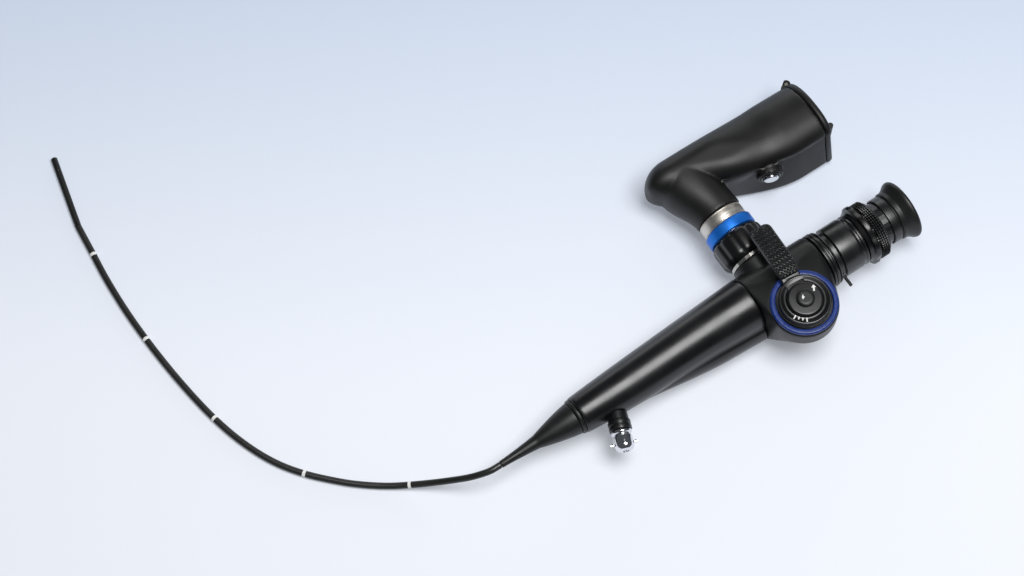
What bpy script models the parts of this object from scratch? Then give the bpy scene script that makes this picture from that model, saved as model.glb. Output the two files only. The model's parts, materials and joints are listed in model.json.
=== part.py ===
"""Portable flexible endoscope: insertion tube, grip, lever head, eyepiece and clip-on battery light source.

Units are metres, +Z up. The origin is on the control lever's pivot axis, on the flat base that the head
rests on. +X runs along the grip towards the eyepiece and +Y along the light connector.
"""

import math

import bmesh
import bpy
from mathutils import Matrix, Vector

# Clearances
GAP = 0.0003
RUN = 0.0003
WELL_OVERRUN = 0.0010

# Main axes
AXIS_Y = 0.017
AXIS_Z = 0.019
LIGHT_X = -0.003
LIGHT_Z = 0.019
ROUND = 32

# Insertion tube and bending section
TUBE_R = 0.0016
TUBE_REST_Z = 0.0017
TUBE_STEP = 0.0075
BEND_BASE = Vector((-0.2560, 0.2386, TUBE_REST_Z))
BEND_TURN = math.radians(77.5)
LINK_COUNT = 6
LINK_PITCH = 0.0049
LINK_GAP = 0.0003
LINK_SLOPE = math.tan(math.radians(12.0))
COLLAR_LENGTH = 0.0045
TIP_LENGTH = 0.0090
TIP_NOSE = 0.0006

# Boot
BOOT_START = -0.1573
BOOT_END = -0.1172
BOOT_FRONT_R = 0.0021
BOOT_WAIST_R = 0.0033
BOOT_REAR_R = 0.0080
BOOT_WAIST = 0.0195
BOOT_RING_WIDTH = 0.0018
BOOT_RING_R = 0.0088

# Grip
GRIP_END = -0.0175
GRIP_FRONT_R = 0.0091
GRIP_REAR_R = 0.0147
LOBE_ANGLE = math.radians(225.0)
LOBE_START = -0.098
LOBE_FRONT_R = 0.0024
LOBE_REAR_R = 0.0060
LOBE_RISE = 0.0052
GRIP_SECTIONS = 9
GRIP_SIDES = 44

# Vent connector under the grip
VENT_X = -0.1000
VENT_SLANT = math.radians(21.0)
VENT_COLLAR_R = 0.0054
VENT_COLLAR_LENGTH = 0.0052
VENT_BODY_R = 0.0046
VENT_BODY_LENGTH = 0.0098
VENT_BORE_R = 0.0015
VENT_PIN_R = 0.0007
VENT_PIN_REACH = 0.0014

# Head
HEAD_BOTTOM = 0.0040
HEAD_TOP = 0.0350
HEAD_FRONT = GRIP_END + GAP
HEAD_REAR = 0.0220
HEAD_REAR_R = 0.0142
RING_OUTER_R = 0.0160
BOSS_R = RING_OUTER_R + 0.0006
BOSS_WAIST_Z = 0.0260
NECK_R = 0.0113
NECK_START = 0.0180
NECK_END = 0.0340
RING_WIDTH = 0.0026
RING_HEIGHT = 0.0016
RING_INNER_R = RING_OUTER_R - RING_WIDTH
PLATE_R = RING_INNER_R - 2.0 * GAP
PLATE_THICKNESS = 0.0020
POCKET_R = PLATE_R - 0.0016
POCKET_FLOOR = 0.0185
BOWL_R = POCKET_R + 0.0017
BOWL_DROP = 0.0015
BASE_FRONT_R = 0.0070
BASE_REAR_R = 0.0108
BASE_REAR_X = 0.0030
BASE_REAR_Y = 0.0140
BASE_EDGE = 0.0012
SCREW_HEAD_R = 0.0015
SCREW_CIRCLE_R = BASE_REAR_R - SCREW_HEAD_R - 0.0018
SCREW_DEPTH = 0.0016
SCREW_SUNK = 0.0004
SCREW_COUNT = 3

# Lever and its mechanism
SHAFT_R = 0.0030
DRUM_R = POCKET_R - 0.0024
DRUM_GROOVE_R = DRUM_R - 0.0014
DRUM_BOTTOM = POCKET_FLOOR + 0.0020
DRUM_TOP = HEAD_TOP - 0.0040
DISC_R = PLATE_R - 0.0004
DISC_THICKNESS = 0.0034
HUB_CAP_R = 0.0044
HUB_CAP_HEIGHT = 0.0016
LEVER_TURN = math.radians(86.0)
ARM_WIDTH = 0.0096
ARM_THICKNESS = 0.0030
ARM_REACH = 0.0420
ARM_DROP = 0.0022
PAD_WIDTH = 0.0112
PAD_START = 0.0145
PAD_THICKNESS = 0.0022
PAD_RIDGES = 13
PAD_RIDGE_DEPTH = 0.0005

# Eyepiece
FLANGE_START = HEAD_REAR + GAP
FLANGE_WIDTH = 0.0048
FLANGE_R = 0.0141
BARREL_END = 0.0435
BARREL_R = 0.0129
BARREL_GROOVE_WIDTH = 0.0022
BARREL_GROOVE_DEPTH = 0.0012
FOCUS_WIDTH = 0.0110
FOCUS_R = 0.0153
FOCUS_RIBS = 18
FOCUS_RIB_DEPTH = 0.0009
SLEEVE_R = 0.0108
SLEEVE_BORE_R = 0.0086
CUP_START = 0.0590
CUP_END = 0.0725
CUP_NECK_R = 0.0118
CUP_R = 0.0149
CUP_THROAT_R = 0.0086
CUP_MOUTH_R = 0.0124
LENS_R = 0.0082
LENS_THICKNESS = 0.0026
LENS_SHOULDER = 0.0009
MOUNT_LENGTH = 0.0078
MOUNT_LIP = 0.0010
CELL_TRAVEL = 0.0015
SLEEVE_FLOOR = 0.0016
CUP_SEAT = 0.0035
INDEX_R = 0.0008
INDEX_REACH = 0.0062

# Light connector and light source
POST_R = 0.0082
POST_TIP_R = 0.0060
POST_TIP_LENGTH = 0.0056
POST_FLANGE_R = 0.0110
POST_FLANGE_WIDTH = 0.0016
NUT_R = 0.0133
NUT_RIBS = 10
NUT_RIB_DEPTH = 0.0005
NOSE_START = 0.0498
NOSE_R = 0.0096
NOSE_BORE_R = 0.0068
NOSE_SEAT = 0.0680
CONDENSER_BACK = 0.0088
LAMP_R = 0.0074
LAMP_LENGTH = 0.0080
LAMP_FACE_R = 0.0044
LAMP_FIN = 0.0011
LAMP_FIN_DEPTH = 0.0018
BLUE_WIDTH = 0.0052
BLUE_R = 0.0125
STEEL_WIDTH = 0.0062
STEEL_R = 0.0115
SOURCE_NECK_R = 0.0120
SOURCE_FRONT_Y = 0.0610
SOURCE_BACK_Y = 0.0990
SOURCE_HEIGHT = 0.0335
SOURCE_LEFT_X = -0.0250
BAY_START_X = 0.0137
SPRING_ROOM = 0.0024
CELL_LENGTH = 0.0445
CELL_SUNK = 0.0006
SOURCE_RIGHT_X = BAY_START_X + SPRING_ROOM + CELL_LENGTH + CELL_SUNK
SOURCE_TOP_ROUND = 0.0100
SOURCE_BASE_ROUND = 0.0045
SOURCE_END_ROUND = 0.0130
SOURCE_END_SHRINK = 0.0060
SHOULDER_START_X = -0.0200
SHOULDER_END_X = 0.0480
SHOULDER_DEPTH = 0.0200
SOURCE_SWELL = 0.0010
SWELL_START_X = 0.0330
SWELL_END_X = 0.0440
ELBOW_X = -0.0085
ELBOW_HALF = 0.0160
ELBOW_TALL = 0.0158
ELBOW_Z = 0.0166
ELBOW_BACK = 0.0110
LID_THICKNESS = 0.0036
LID_PIN_R = 0.0011
LID_HINGE_X = 0.0010
LID_HINGE_Y = 0.0004
KNUCKLE_R = 0.0021
HINGE_BOTTOM = 0.0080
HINGE_TOP = 0.0230
LIP_Y = 0.0685
LIP_WIDTH = 0.0028
LIP_PROUD = 0.0020
LIP_BOTTOM = 0.0170
LIP_TOP = 0.0280
CELL_R = 0.00525
CELL_PITCH = 0.0114
CELL_MIDDLE_Y = 0.0840
CELL_Z = 0.0168
SPRING_WIDE_R = 0.0038
SPRING_NARROW_R = 0.0022
SPRING_TURNS = 2.5
BAY_CLEAR = 0.00045
SPRING_WIRE_R = 0.0004
BUTTON_X = 0.0290
BUTTON_Z = 0.0200
BUTTON_R = 0.0036
BUTTON_BEZEL_R = 0.0050
BUTTON_PROUD = 0.0016
BUTTON_TRAVEL = 0.0008
BUTTON_WELL = 0.0024


def clear_scene():
    for item in list(bpy.data.objects):
        bpy.data.objects.remove(item, do_unlink=True)


def make_material(name, colour, roughness, metallic):
    material = bpy.data.materials.new(name)
    material.use_nodes = True
    shader = material.node_tree.nodes["Principled BSDF"]
    shader.inputs["Base Color"].default_value = (*colour, 1.0)
    shader.inputs["Roughness"].default_value = roughness
    shader.inputs["Metallic"].default_value = metallic
    return material


def tube_rubber():
    return make_material("tube_rubber", (0.020, 0.021, 0.020), 0.45, 0.0)


def boot_rubber():
    return make_material("boot_rubber", (0.018, 0.019, 0.018), 0.55, 0.0)


def grip_plastic():
    return make_material("grip_plastic", (0.014, 0.014, 0.015), 0.32, 0.0)


def head_plastic():
    return make_material("head_plastic", (0.022, 0.023, 0.024), 0.42, 0.0)


def blue_plastic():
    return make_material("blue_plastic", (0.010, 0.075, 0.500), 0.30, 0.0)


def source_plastic():
    return make_material("source_plastic", (0.018, 0.018, 0.017), 0.60, 0.0)


def black_metal():
    return make_material("black_metal", (0.025, 0.026, 0.028), 0.35, 0.7)


def steel():
    return make_material("steel", (0.60, 0.59, 0.56), 0.28, 1.0)


def chrome():
    return make_material("chrome", (0.72, 0.73, 0.75), 0.10, 1.0)


def lens_glass():
    return make_material("lens_glass", (0.80, 0.86, 0.92), 0.03, 0.0)


def cell_wrap():
    return make_material("cell_wrap", (0.12, 0.13, 0.14), 0.35, 0.3)


def finished(name, mesh_builder, place, material, sharp=35.0):
    """Turn a bmesh into a named object whose world place is the given matrix."""
    bmesh.ops.recalc_face_normals(mesh_builder, faces=mesh_builder.faces[:])
    mesh = bpy.data.meshes.new(name)
    mesh_builder.to_mesh(mesh)
    mesh_builder.free()
    mesh.shade_smooth()
    mesh.set_sharp_from_angle(angle=math.radians(sharp))
    item = bpy.data.objects.new(name, mesh)
    bpy.context.scene.collection.objects.link(item)
    item.matrix_world = place
    mesh.materials.append(material)
    return item


def along_x(x, y=AXIS_Y, z=AXIS_Z):
    """Local +Z becomes world +X, starting at the given point."""
    return Matrix.Translation((x, y, z)) @ Matrix.Rotation(math.radians(90.0), 4, "Y")


def along_y(y, x=LIGHT_X, z=LIGHT_Z):
    """Local +Z becomes world +Y, starting at the given point."""
    return Matrix.Translation((x, y, z)) @ Matrix.Rotation(math.radians(-90.0), 4, "X")


def upright(z, x=0.0, y=0.0):
    return Matrix.Translation((x, y, z))


def eased(outline, size, closed):
    """Chamfer each corner of an outline of (along, radius) points."""
    count = len(outline)
    points = []
    for i, here in enumerate(outline):
        if not closed and i in (0, count - 1):
            points.append(here)
            continue
        corner = Vector(here)
        back = Vector(outline[i - 1]) - corner
        ahead = Vector(outline[(i + 1) % count]) - corner
        turn = math.degrees(back.angle(-ahead))
        if turn < 25.0:
            points.append(here)
            continue
        reach = min(size, 0.4 * back.length, 0.4 * ahead.length)
        first = corner + back.normalized() * reach
        last = corner + ahead.normalized() * reach
        points += [tuple(first), tuple(last)]
    return points


def turned(name, outline, place, material, sides=ROUND, closed=False, ease=0.0, wave=None):
    """Turn an outline of (along, radius) points about local Z.

    A solid's outline starts and ends on the axis; a closed outline makes a ring. wave(along, radius, angle)
    may return a changed radius, which gives ribs and flutes.
    """
    points = eased(outline, ease, closed) if ease else list(outline)
    shape = bmesh.new()
    rows = []
    for along, radius in points:
        if radius < 1e-9:
            rows.append([shape.verts.new((0.0, 0.0, along))])
            continue
        row = []
        for k in range(sides):
            angle = 2.0 * math.pi * k / sides
            r = wave(along, radius, angle) if wave else radius
            row.append(shape.verts.new((r * math.cos(angle), r * math.sin(angle), along)))
        rows.append(row)
    pairs = list(zip(rows, rows[1:]))
    if closed:
        pairs.append((rows[-1], rows[0]))
    for low, high in pairs:
        for k in range(sides):
            n = (k + 1) % sides
            if len(low) == 1:
                shape.faces.new((low[0], high[k], high[n]))
            elif len(high) == 1:
                shape.faces.new((low[k], low[n], high[0]))
            else:
                shape.faces.new((low[k], low[n], high[n], high[k]))
    return finished(name, shape, place, material)


def rod(name, start, end, radius, place, material, sides=ROUND, ease=0.0):
    """A plain round rod along local Z."""
    outline = [(start, 0.0), (start, radius), (end, radius), (end, 0.0)]
    return turned(name, outline, place, material, sides=sides, ease=ease)


def lofted(name, sections, place, material, sharp=35.0):
    """Skin a list of equal-length point rings and cap both ends."""
    shape = bmesh.new()
    rows = [[shape.verts.new(p) for p in section] for section in sections]
    count = len(rows[0])
    for low, high in zip(rows, rows[1:]):
        for k in range(count):
            n = (k + 1) % count
            shape.faces.new((low[k], low[n], high[n], high[k]))
    shape.faces.new(rows[0])
    shape.faces.new(rows[-1])
    return finished(name, shape, place, material, sharp)


def hidden(item):
    item.hide_render = True
    item.display_type = "WIRE"
    return item


def boolean(target, other, operation):
    step = target.modifiers.new(operation.lower() + "_" + other.name, "BOOLEAN")
    step.operation = operation
    step.solver = "EXACT"
    step.object = hidden(other)
    return target


def smoothstep(t):
    t = min(1.0, max(0.0, t))
    return t * t * (3.0 - 2.0 * t)


def mix(a, b, t):
    return a + (b - a) * t


# Insertion tube

def tube_route():
    """Hand-chosen points from the boot, down to the table and along its wide curve to the bending section."""
    boot_end = Vector((BOOT_START - GAP, AXIS_Y, AXIS_Z))
    along = Vector((math.cos(BEND_TURN), math.sin(BEND_TURN), 0.0))
    last = BEND_BASE - along * (COLLAR_LENGTH + GAP)
    low = TUBE_REST_Z
    return [
        boot_end,
        boot_end + Vector((-0.0060, 0.0004, -0.0003)),
        Vector((-0.1715, 0.0206, 0.0155)),
        Vector((-0.1795, 0.0258, 0.0105)),
        Vector((-0.1880, 0.0315, 0.0062)),
        Vector((-0.1960, 0.0368, 0.0034)),
        Vector((-0.2036, 0.0418, 0.0021)),
        Vector((-0.2125, 0.0485, low)),
        Vector((-0.2212, 0.0562, low)),
        Vector((-0.2333, 0.0692, low)),
        Vector((-0.2422, 0.0825, low)),
        Vector((-0.2490, 0.0985, low)),
        Vector((-0.2538, 0.1165, low)),
        Vector((-0.2572, 0.1380, low)),
        Vector((-0.2593, 0.1600, low)),
        Vector((-0.2602, 0.1815, low)),
        Vector((-0.2597, 0.2025, low)),
        Vector((-0.2582, 0.2200, low)),
        last,
    ]


def smooth_points(route, step):
    """Points at an even step along a centripetal curve through the route."""
    dense = []
    for i in range(len(route) - 1):
        p0 = route[i - 1] if i else route[0] * 2.0 - route[1]
        p1 = route[i]
        p2 = route[i + 1]
        p3 = route[i + 2] if i + 2 < len(route) else p2 * 2.0 - p1
        for k in range(12):
            t = k / 12.0
            dense.append(
                0.5
                * (
                    2.0 * p1
                    + (p2 - p0) * t
                    + (2.0 * p0 - 5.0 * p1 + 4.0 * p2 - p3) * t * t
                    + (3.0 * p1 - p0 - 3.0 * p2 + p3) * t * t * t
                )
            )
    dense.append(route[-1])
    total = sum((b - a).length for a, b in zip(dense, dense[1:]))
    count = max(4, round(total / step))
    wanted = [total * k / count for k in range(1, count)]
    points = [dense[0]]
    travelled = 0.0
    for a, b in zip(dense, dense[1:]):
        length = (b - a).length
        while wanted and wanted[0] <= travelled + length:
            points.append(a.lerp(b, (wanted.pop(0) - travelled) / length))
        travelled += length
    points.append(dense[-1])
    return points


def insertion_tube(material):
    curve = bpy.data.curves.new("insertion_tube", "CURVE")
    curve.dimensions = "3D"
    curve.bevel_depth = TUBE_R
    curve.bevel_resolution = 2
    curve.render_resolution_u = 0
    curve.use_fill_caps = True
    line = curve.splines.new("POLY")
    points = smooth_points(tube_route(), TUBE_STEP)
    line.points.add(len(points) - 1)
    for slot, point in zip(line.points, points):
        slot.co = (*point, 1.0)
    item = bpy.data.objects.new("insertion_tube", curve)
    bpy.context.scene.collection.objects.link(item)
    curve.materials.append(material)
    return item


def bend_place(along):
    """A frame on the bending section: local X runs to the tip and local Z is up."""
    place = Matrix.Translation(BEND_BASE) @ Matrix.Rotation(BEND_TURN, 4, "Z")
    return place @ Matrix.Translation((along, 0.0, 0.0))


def link_end(x, side, radius, roofed):
    """One end ring of a link; a roofed end slopes back from its hinge line on both sides."""
    ring = []
    for k in range(12):
        angle = math.pi / 2.0 + 2.0 * math.pi * k / 12
        y = radius * math.cos(angle)
        z = radius * math.sin(angle)
        back = abs(y) * LINK_SLOPE if roofed else 0.0
        ring.append(Vector((x - side * back, y, z)))
    return ring


def link_body(name, start, end, roofed_start, roofed_end, nose, place, material):
    """A short round link; its ends are split on the upright hinge line so that each half stays flat."""
    shape = bmesh.new()
    rings = [link_end(start, -1.0, TUBE_R, roofed_start)]
    if nose:
        rings.append(link_end(end - nose, 1.0, TUBE_R, False))
        rings.append(link_end(end, 1.0, TUBE_R - nose, False))
    else:
        rings.append(link_end(end, 1.0, TUBE_R, roofed_end))
    rows = [[shape.verts.new(p) for p in ring] for ring in rings]
    for low, high in zip(rows, rows[1:]):
        for k in range(12):
            n = (k + 1) % 12
            shape.faces.new((low[k], low[n], high[n], high[k]))
    for row in (rows[0], rows[-1]):
        shape.faces.new([row[k] for k in range(0, 7)])
        shape.faces.new([row[k % 12] for k in range(6, 13)])
    return finished(name, shape, place, material)


def bending_section(rubber, tip_metal):
    half = LINK_GAP / 2.0
    link_body("bending_collar", -COLLAR_LENGTH, -half, False, True, 0.0, bend_place(0.0), tip_metal)
    for k in range(1, LINK_COUNT):
        place = bend_place((k - 1) * LINK_PITCH)
        link_body(f"bending_link_{k}", half, LINK_PITCH - half, True, True, 0.0, place, rubber)
    place = bend_place((LINK_COUNT - 1) * LINK_PITCH)
    link_body("distal_tip", half, TIP_LENGTH, True, False, TIP_NOSE, place, tip_metal)


# Boot and grip

def boot(material):
    length = BOOT_END - BOOT_START
    waist = BOOT_WAIST
    outline = [(0.0, 0.0), (0.0, BOOT_FRONT_R)]
    for k in range(1, 5):
        t = k / 4.0
        outline.append((waist * t, mix(BOOT_FRONT_R, BOOT_WAIST_R, t * t)))
    for k in range(1, 9):
        t = k / 8.0
        radius = mix(BOOT_WAIST_R, BOOT_REAR_R, 0.25 * t + 0.75 * (1.0 - (1.0 - t) ** 1.35))
        outline.append((mix(waist, length, t), radius))
    outline.append((length, 0.0))
    return turned("boot", outline, along_x(BOOT_START), material, sides=24)


def boot_ring(material):
    outline = [
        (0.0, 0.0),
        (0.0, BOOT_RING_R - 0.0004),
        (BOOT_RING_WIDTH, BOOT_RING_R),
        (BOOT_RING_WIDTH, 0.0),
    ]
    return turned("boot_ring", outline, along_x(BOOT_END + GAP), material, ease=0.0003)


def grip_start():
    return BOOT_END + BOOT_RING_WIDTH + 2.0 * GAP


def grip_radius(x):
    """The grip swells quickly behind its front end and then runs almost straight."""
    t = (x - grip_start()) / (GRIP_END - grip_start())
    return mix(GRIP_FRONT_R, GRIP_REAR_R, t ** 0.85)


def lobe_share(x):
    return smoothstep((x - LOBE_START) / (0.75 * (GRIP_END - LOBE_START)))


def grip_section(x):
    """A round section with a slim lobe low on the palm side, where the lower channel runs."""
    main = grip_radius(x)
    share = lobe_share(x)
    small = mix(LOBE_FRONT_R, LOBE_REAR_R, share)
    out = main - small + LOBE_RISE * share - 0.0004 * (1.0 - share)
    ring = []
    for k in range(GRIP_SIDES):
        angle = 2.0 * math.pi * k / GRIP_SIDES
        off = angle - LOBE_ANGLE
        radius = main
        inside = small * small - (out * math.sin(off)) ** 2
        if inside > 0.0 and math.cos(off) > 0.0:
            radius = max(main, out * math.cos(off) + math.sqrt(inside))
        z = max(HEAD_BOTTOM, AXIS_Z + radius * math.sin(angle))
        ring.append(Vector((x, AXIS_Y + radius * math.cos(angle), z)))
    return ring


def grip(material):
    start = grip_start()
    stations = [mix(start, GRIP_END, k / GRIP_SECTIONS) for k in range(GRIP_SECTIONS + 1)]
    sections = [grip_section(x) for x in stations]
    return lofted("grip", sections, Matrix.Identity(4), material, 50.0)


# Vent connector

def vent_place(along):
    """Local +Z points out of the grip's palm side, slanted towards the tip of the tube."""
    out = Vector((-math.sin(VENT_SLANT), -math.cos(VENT_SLANT), 0.0))
    side = grip_radius(VENT_X) + GAP
    surface = Vector((VENT_X, AXIS_Y - side / math.cos(VENT_SLANT), AXIS_Z))
    turn = Vector((0.0, 0.0, 1.0)).rotation_difference(out).to_matrix().to_4x4()
    return Matrix.Translation(surface + out * along) @ turn


def vent_foot():
    """How far the collar's flat end stands off so that its slanted rim clears the grip."""
    return VENT_COLLAR_R * math.tan(VENT_SLANT) * 0.55


def vent_collar(material):
    start = vent_foot()
    outline = [
        (start, 0.0),
        (start, VENT_COLLAR_R - 0.0010),
        (start + 0.0012, VENT_COLLAR_R),
        (start + VENT_COLLAR_LENGTH, VENT_COLLAR_R),
        (start + VENT_COLLAR_LENGTH, 0.0),
    ]
    return turned("vent_collar", outline, vent_place(0.0), material, sides=24, ease=0.0003)


def vent_connector(material):
    start = vent_foot() + VENT_COLLAR_LENGTH + GAP
    end = start + VENT_BODY_LENGTH
    outline = [
        (start, 0.0),
        (start, VENT_BODY_R + 0.0003),
        (start + 0.0014, VENT_BODY_R + 0.0003),
        (start + 0.0018, VENT_BODY_R - 0.0003),
        (end - 0.0020, VENT_BODY_R),
        (end - 0.0008, VENT_BODY_R - 0.0006),
        (end, VENT_BODY_R - 0.0018),
        (end, VENT_BORE_R),
        (end - 0.0060, VENT_BORE_R),
        (end - 0.0060, 0.0),
    ]
    return turned("vent_connector", outline, vent_place(0.0), material, sides=24)


def vent_pins(material):
    """The two bayonet pins that the test cap locks on, one on each side."""
    middle = vent_foot() + VENT_COLLAR_LENGTH + GAP + 0.60 * VENT_BODY_LENGTH
    for name, turn in (("vent_pin_front", -90.0), ("vent_pin_rear", 90.0)):
        side = Matrix.Rotation(math.radians(turn), 4, "Y")
        place = vent_place(middle) @ vent_side_turn() @ side
        place = place @ Matrix.Translation((0.0, 0.0, VENT_BODY_R + GAP))
        rod(name, 0.0, VENT_PIN_REACH, VENT_PIN_R, place, material, sides=12)


def vent_side_turn():
    """Turns the connector's local X into the horizontal plane."""
    frame = vent_place(0.0).to_3x3()
    level = Vector((math.cos(VENT_SLANT), -math.sin(VENT_SLANT), 0.0))
    local = frame.inverted() @ level
    return Matrix.Rotation(math.atan2(local.y, local.x), 4, "Z")


# Head

def circle_points(place, radius, count=ROUND):
    points = []
    for k in range(count):
        angle = 2.0 * math.pi * k / count
        points.append(place @ Vector((radius * math.cos(angle), radius * math.sin(angle), 0.0)))
    return points


def head_shell(material):
    """The head: a skin stretched over the round lever boss and the trunk that carries grip and eyepiece."""
    points = grip_section(GRIP_END)
    points = [Vector((HEAD_FRONT, p.y, p.z)) for p in points]
    points += circle_points(along_x(HEAD_REAR - 0.0010), HEAD_REAR_R)
    points += circle_points(along_x(HEAD_REAR), HEAD_REAR_R - 0.0008)
    points += base_points(HEAD_BOTTOM, -0.0004)
    points += base_points(HEAD_BOTTOM + 0.0022, 0.0010)
    points += circle_points(upright(POCKET_FLOOR - BOWL_DROP), BOWL_R)
    points += circle_points(upright(BOSS_WAIST_Z), BOSS_R)
    points += circle_points(upright(HEAD_TOP - 0.0010), BOSS_R)
    points += circle_points(upright(HEAD_TOP), BOSS_R - 0.0004)
    return hulled("head_housing", points, material)


def base_points(z, grow):
    """The pear-shaped foot outline: narrow under the lever boss, wide under the trunk."""
    front = circle_points(upright(z), BASE_FRONT_R + grow, 24)
    rear = circle_points(upright(z, BASE_REAR_X, BASE_REAR_Y), BASE_REAR_R + grow, 24)
    return front + rear


def hulled(name, points, material):
    """One closed convex body around the points."""
    shape = bmesh.new()
    for point in points:
        shape.verts.new(point)
    hull = bmesh.ops.convex_hull(shape, input=shape.verts[:])
    inner = [v for v in hull["geom_interior"] + hull["geom_unused"] if isinstance(v, bmesh.types.BMVert)]
    bmesh.ops.delete(shape, geom=list(set(inner)), context="VERTS")
    bmesh.ops.dissolve_limit(
        shape, angle_limit=math.radians(0.5), verts=shape.verts[:], edges=shape.edges[:]
    )
    return finished(name, shape, Matrix.Identity(4), material, 28.0)


def head_housing(material):
    head = head_shell(material)
    neck = rod("head_neck_form", NECK_START, NECK_END, NECK_R, along_y(0.0), material, ease=0.0006)
    boolean(head, neck, "UNION")
    pocket = rod("drum_pocket_form", POCKET_FLOOR, HEAD_TOP + WELL_OVERRUN, POCKET_R, upright(0.0), material)
    boolean(head, pocket, "DIFFERENCE")
    return head


def base_cap(material):
    """The foot that the head stands on."""
    points = base_points(0.0, -BASE_EDGE) + base_points(BASE_EDGE, 0.0) + base_points(HEAD_BOTTOM - GAP, 0.0)
    cap = hulled("base_cap", points, material)
    for k in range(SCREW_COUNT):
        name = f"screw_well_form_{k + 1}"
        well = rod(name, -WELL_OVERRUN, SCREW_DEPTH + GAP, SCREW_HEAD_R + GAP, screw_place(k), material, 16)
        boolean(cap, well, "DIFFERENCE")
    return cap


def screw_place(k):
    angle = 2.0 * math.pi * k / SCREW_COUNT + math.radians(30.0)
    x = BASE_REAR_X + SCREW_CIRCLE_R * math.cos(angle)
    y = BASE_REAR_Y + SCREW_CIRCLE_R * math.sin(angle)
    return upright(0.0, x, y)


def base_screws(material):
    """Three cross-headed screws sunk a little into the base cap."""
    for k in range(SCREW_COUNT):
        name = f"base_screw_{k + 1}"
        screw = rod(name, SCREW_SUNK, SCREW_DEPTH, SCREW_HEAD_R, screw_place(k), material, 16, 0.0002)
        cross_recess(screw, screw_place(k), material, k + 1)


def cross_recess(screw, place, material, number):
    arm = 0.6 * SCREW_HEAD_R
    half = 0.0002
    top = SCREW_SUNK + 0.0006
    shape = bmesh.new()
    corners = [
        (half, -arm), (half, -half), (arm, -half), (arm, half), (half, half), (half, arm),
        (-half, arm), (-half, half), (-arm, half), (-arm, -half), (-half, -half), (-half, -arm),
    ]
    low = [shape.verts.new((x, y, -WELL_OVERRUN)) for x, y in corners]
    high = [shape.verts.new((x, y, top)) for x, y in corners]
    count = len(corners)
    for k in range(count):
        n = (k + 1) % count
        shape.faces.new((low[k], low[n], high[n], high[k]))
    shape.faces.new(low)
    shape.faces.new(high)
    cutter = finished(f"cross_form_{number}", shape, place, material)
    boolean(screw, cutter, "DIFFERENCE")


# Lever and drum

def plate_top():
    return HEAD_TOP + GAP + PLATE_THICKNESS


def side_plate(material):
    """The bearing plate that closes the drum pocket and guides the shaft."""
    bore = SHAFT_R + RUN
    spigot = POCKET_R - RUN
    outline = [
        (-0.0022, bore),
        (-0.0022, spigot),
        (GAP, spigot),
        (GAP, PLATE_R),
        (GAP + PLATE_THICKNESS, PLATE_R),
        (GAP + PLATE_THICKNESS, bore),
    ]
    return turned("side_plate", outline, upright(HEAD_TOP), material, closed=True)


def accent_ring(material):
    outline = [
        (GAP, RING_INNER_R),
        (GAP, RING_OUTER_R),
        (GAP + RING_HEIGHT - 0.0005, RING_OUTER_R),
        (GAP + RING_HEIGHT, RING_OUTER_R - 0.0005),
        (GAP + RING_HEIGHT, RING_INNER_R),
    ]
    return turned("accent_ring", outline, upright(HEAD_TOP), material, sides=40, closed=True)


def angulation_drum(material):
    """The grooved drum that winds the two pull wires, with the shaft that the lever sits on."""
    bottom = POCKET_FLOOR + GAP
    middle = (DRUM_BOTTOM + DRUM_TOP) / 2.0
    flange = (DRUM_TOP - DRUM_BOTTOM) / 7.6
    outline = [
        (bottom, 0.0),
        (bottom, SHAFT_R),
        (DRUM_BOTTOM, SHAFT_R),
        (DRUM_BOTTOM, DRUM_R),
        (DRUM_BOTTOM + flange, DRUM_R),
        (DRUM_BOTTOM + 2.0 * flange, DRUM_GROOVE_R),
        (middle - flange, DRUM_GROOVE_R),
        (middle - 0.3 * flange, DRUM_R),
        (middle + 0.3 * flange, DRUM_R),
        (middle + flange, DRUM_GROOVE_R),
        (DRUM_TOP - 2.0 * flange, DRUM_GROOVE_R),
        (DRUM_TOP - flange, DRUM_R),
        (DRUM_TOP, DRUM_R),
        (DRUM_TOP, SHAFT_R),
        (plate_top() + GAP, SHAFT_R),
        (plate_top() + GAP, 0.0),
    ]
    return turned("angulation_drum", outline, upright(0.0), material, sides=20)


def disc_bottom():
    return plate_top() + 2.0 * GAP


def lever_disc(material):
    top = disc_bottom() + DISC_THICKNESS
    outline = [
        (disc_bottom(), 0.0),
        (disc_bottom(), DISC_R),
        (top - 0.0008, DISC_R),
        (top, DISC_R - 0.0010),
        (top, 0.0),
    ]
    disc = turned("lever_disc", outline, upright(0.0), material, sides=40)
    arm = lever_arm_form(material)
    boolean(disc, arm, "UNION")
    return disc


def arm_height(reach):
    """The arm's underside: level over the disc, then gently lower towards its end."""
    t = smoothstep((reach - RING_OUTER_R) / (ARM_REACH - RING_OUTER_R))
    clear = HEAD_TOP + GAP + RING_HEIGHT + 0.0006
    return clear - ARM_DROP * t


def lever_place():
    return Matrix.Rotation(LEVER_TURN, 4, "Z")


def rounded_band(x, half, low, high, ease):
    """An eight-point cross-section, x along the arm, with its four corners cut."""
    return [
        Vector((x, -half + ease, low)),
        Vector((x, half - ease, low)),
        Vector((x, half, low + ease)),
        Vector((x, half, high - ease)),
        Vector((x, half - ease, high)),
        Vector((x, -half + ease, high)),
        Vector((x, -half, high - ease)),
        Vector((x, -half, low + ease)),
    ]


def lever_arm_form(material):
    sections = []
    count = 10
    start = 0.004
    for k in range(count + 1):
        x = mix(start, ARM_REACH, k / count)
        low = arm_height(x)
        half = ARM_WIDTH / 2.0 * (1.0 if k < count else 0.82)
        sections.append(rounded_band(x, half, low, low + ARM_THICKNESS, 0.0006))
    return lofted("lever_arm_form", sections, lever_place(), material, 30.0)


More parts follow.
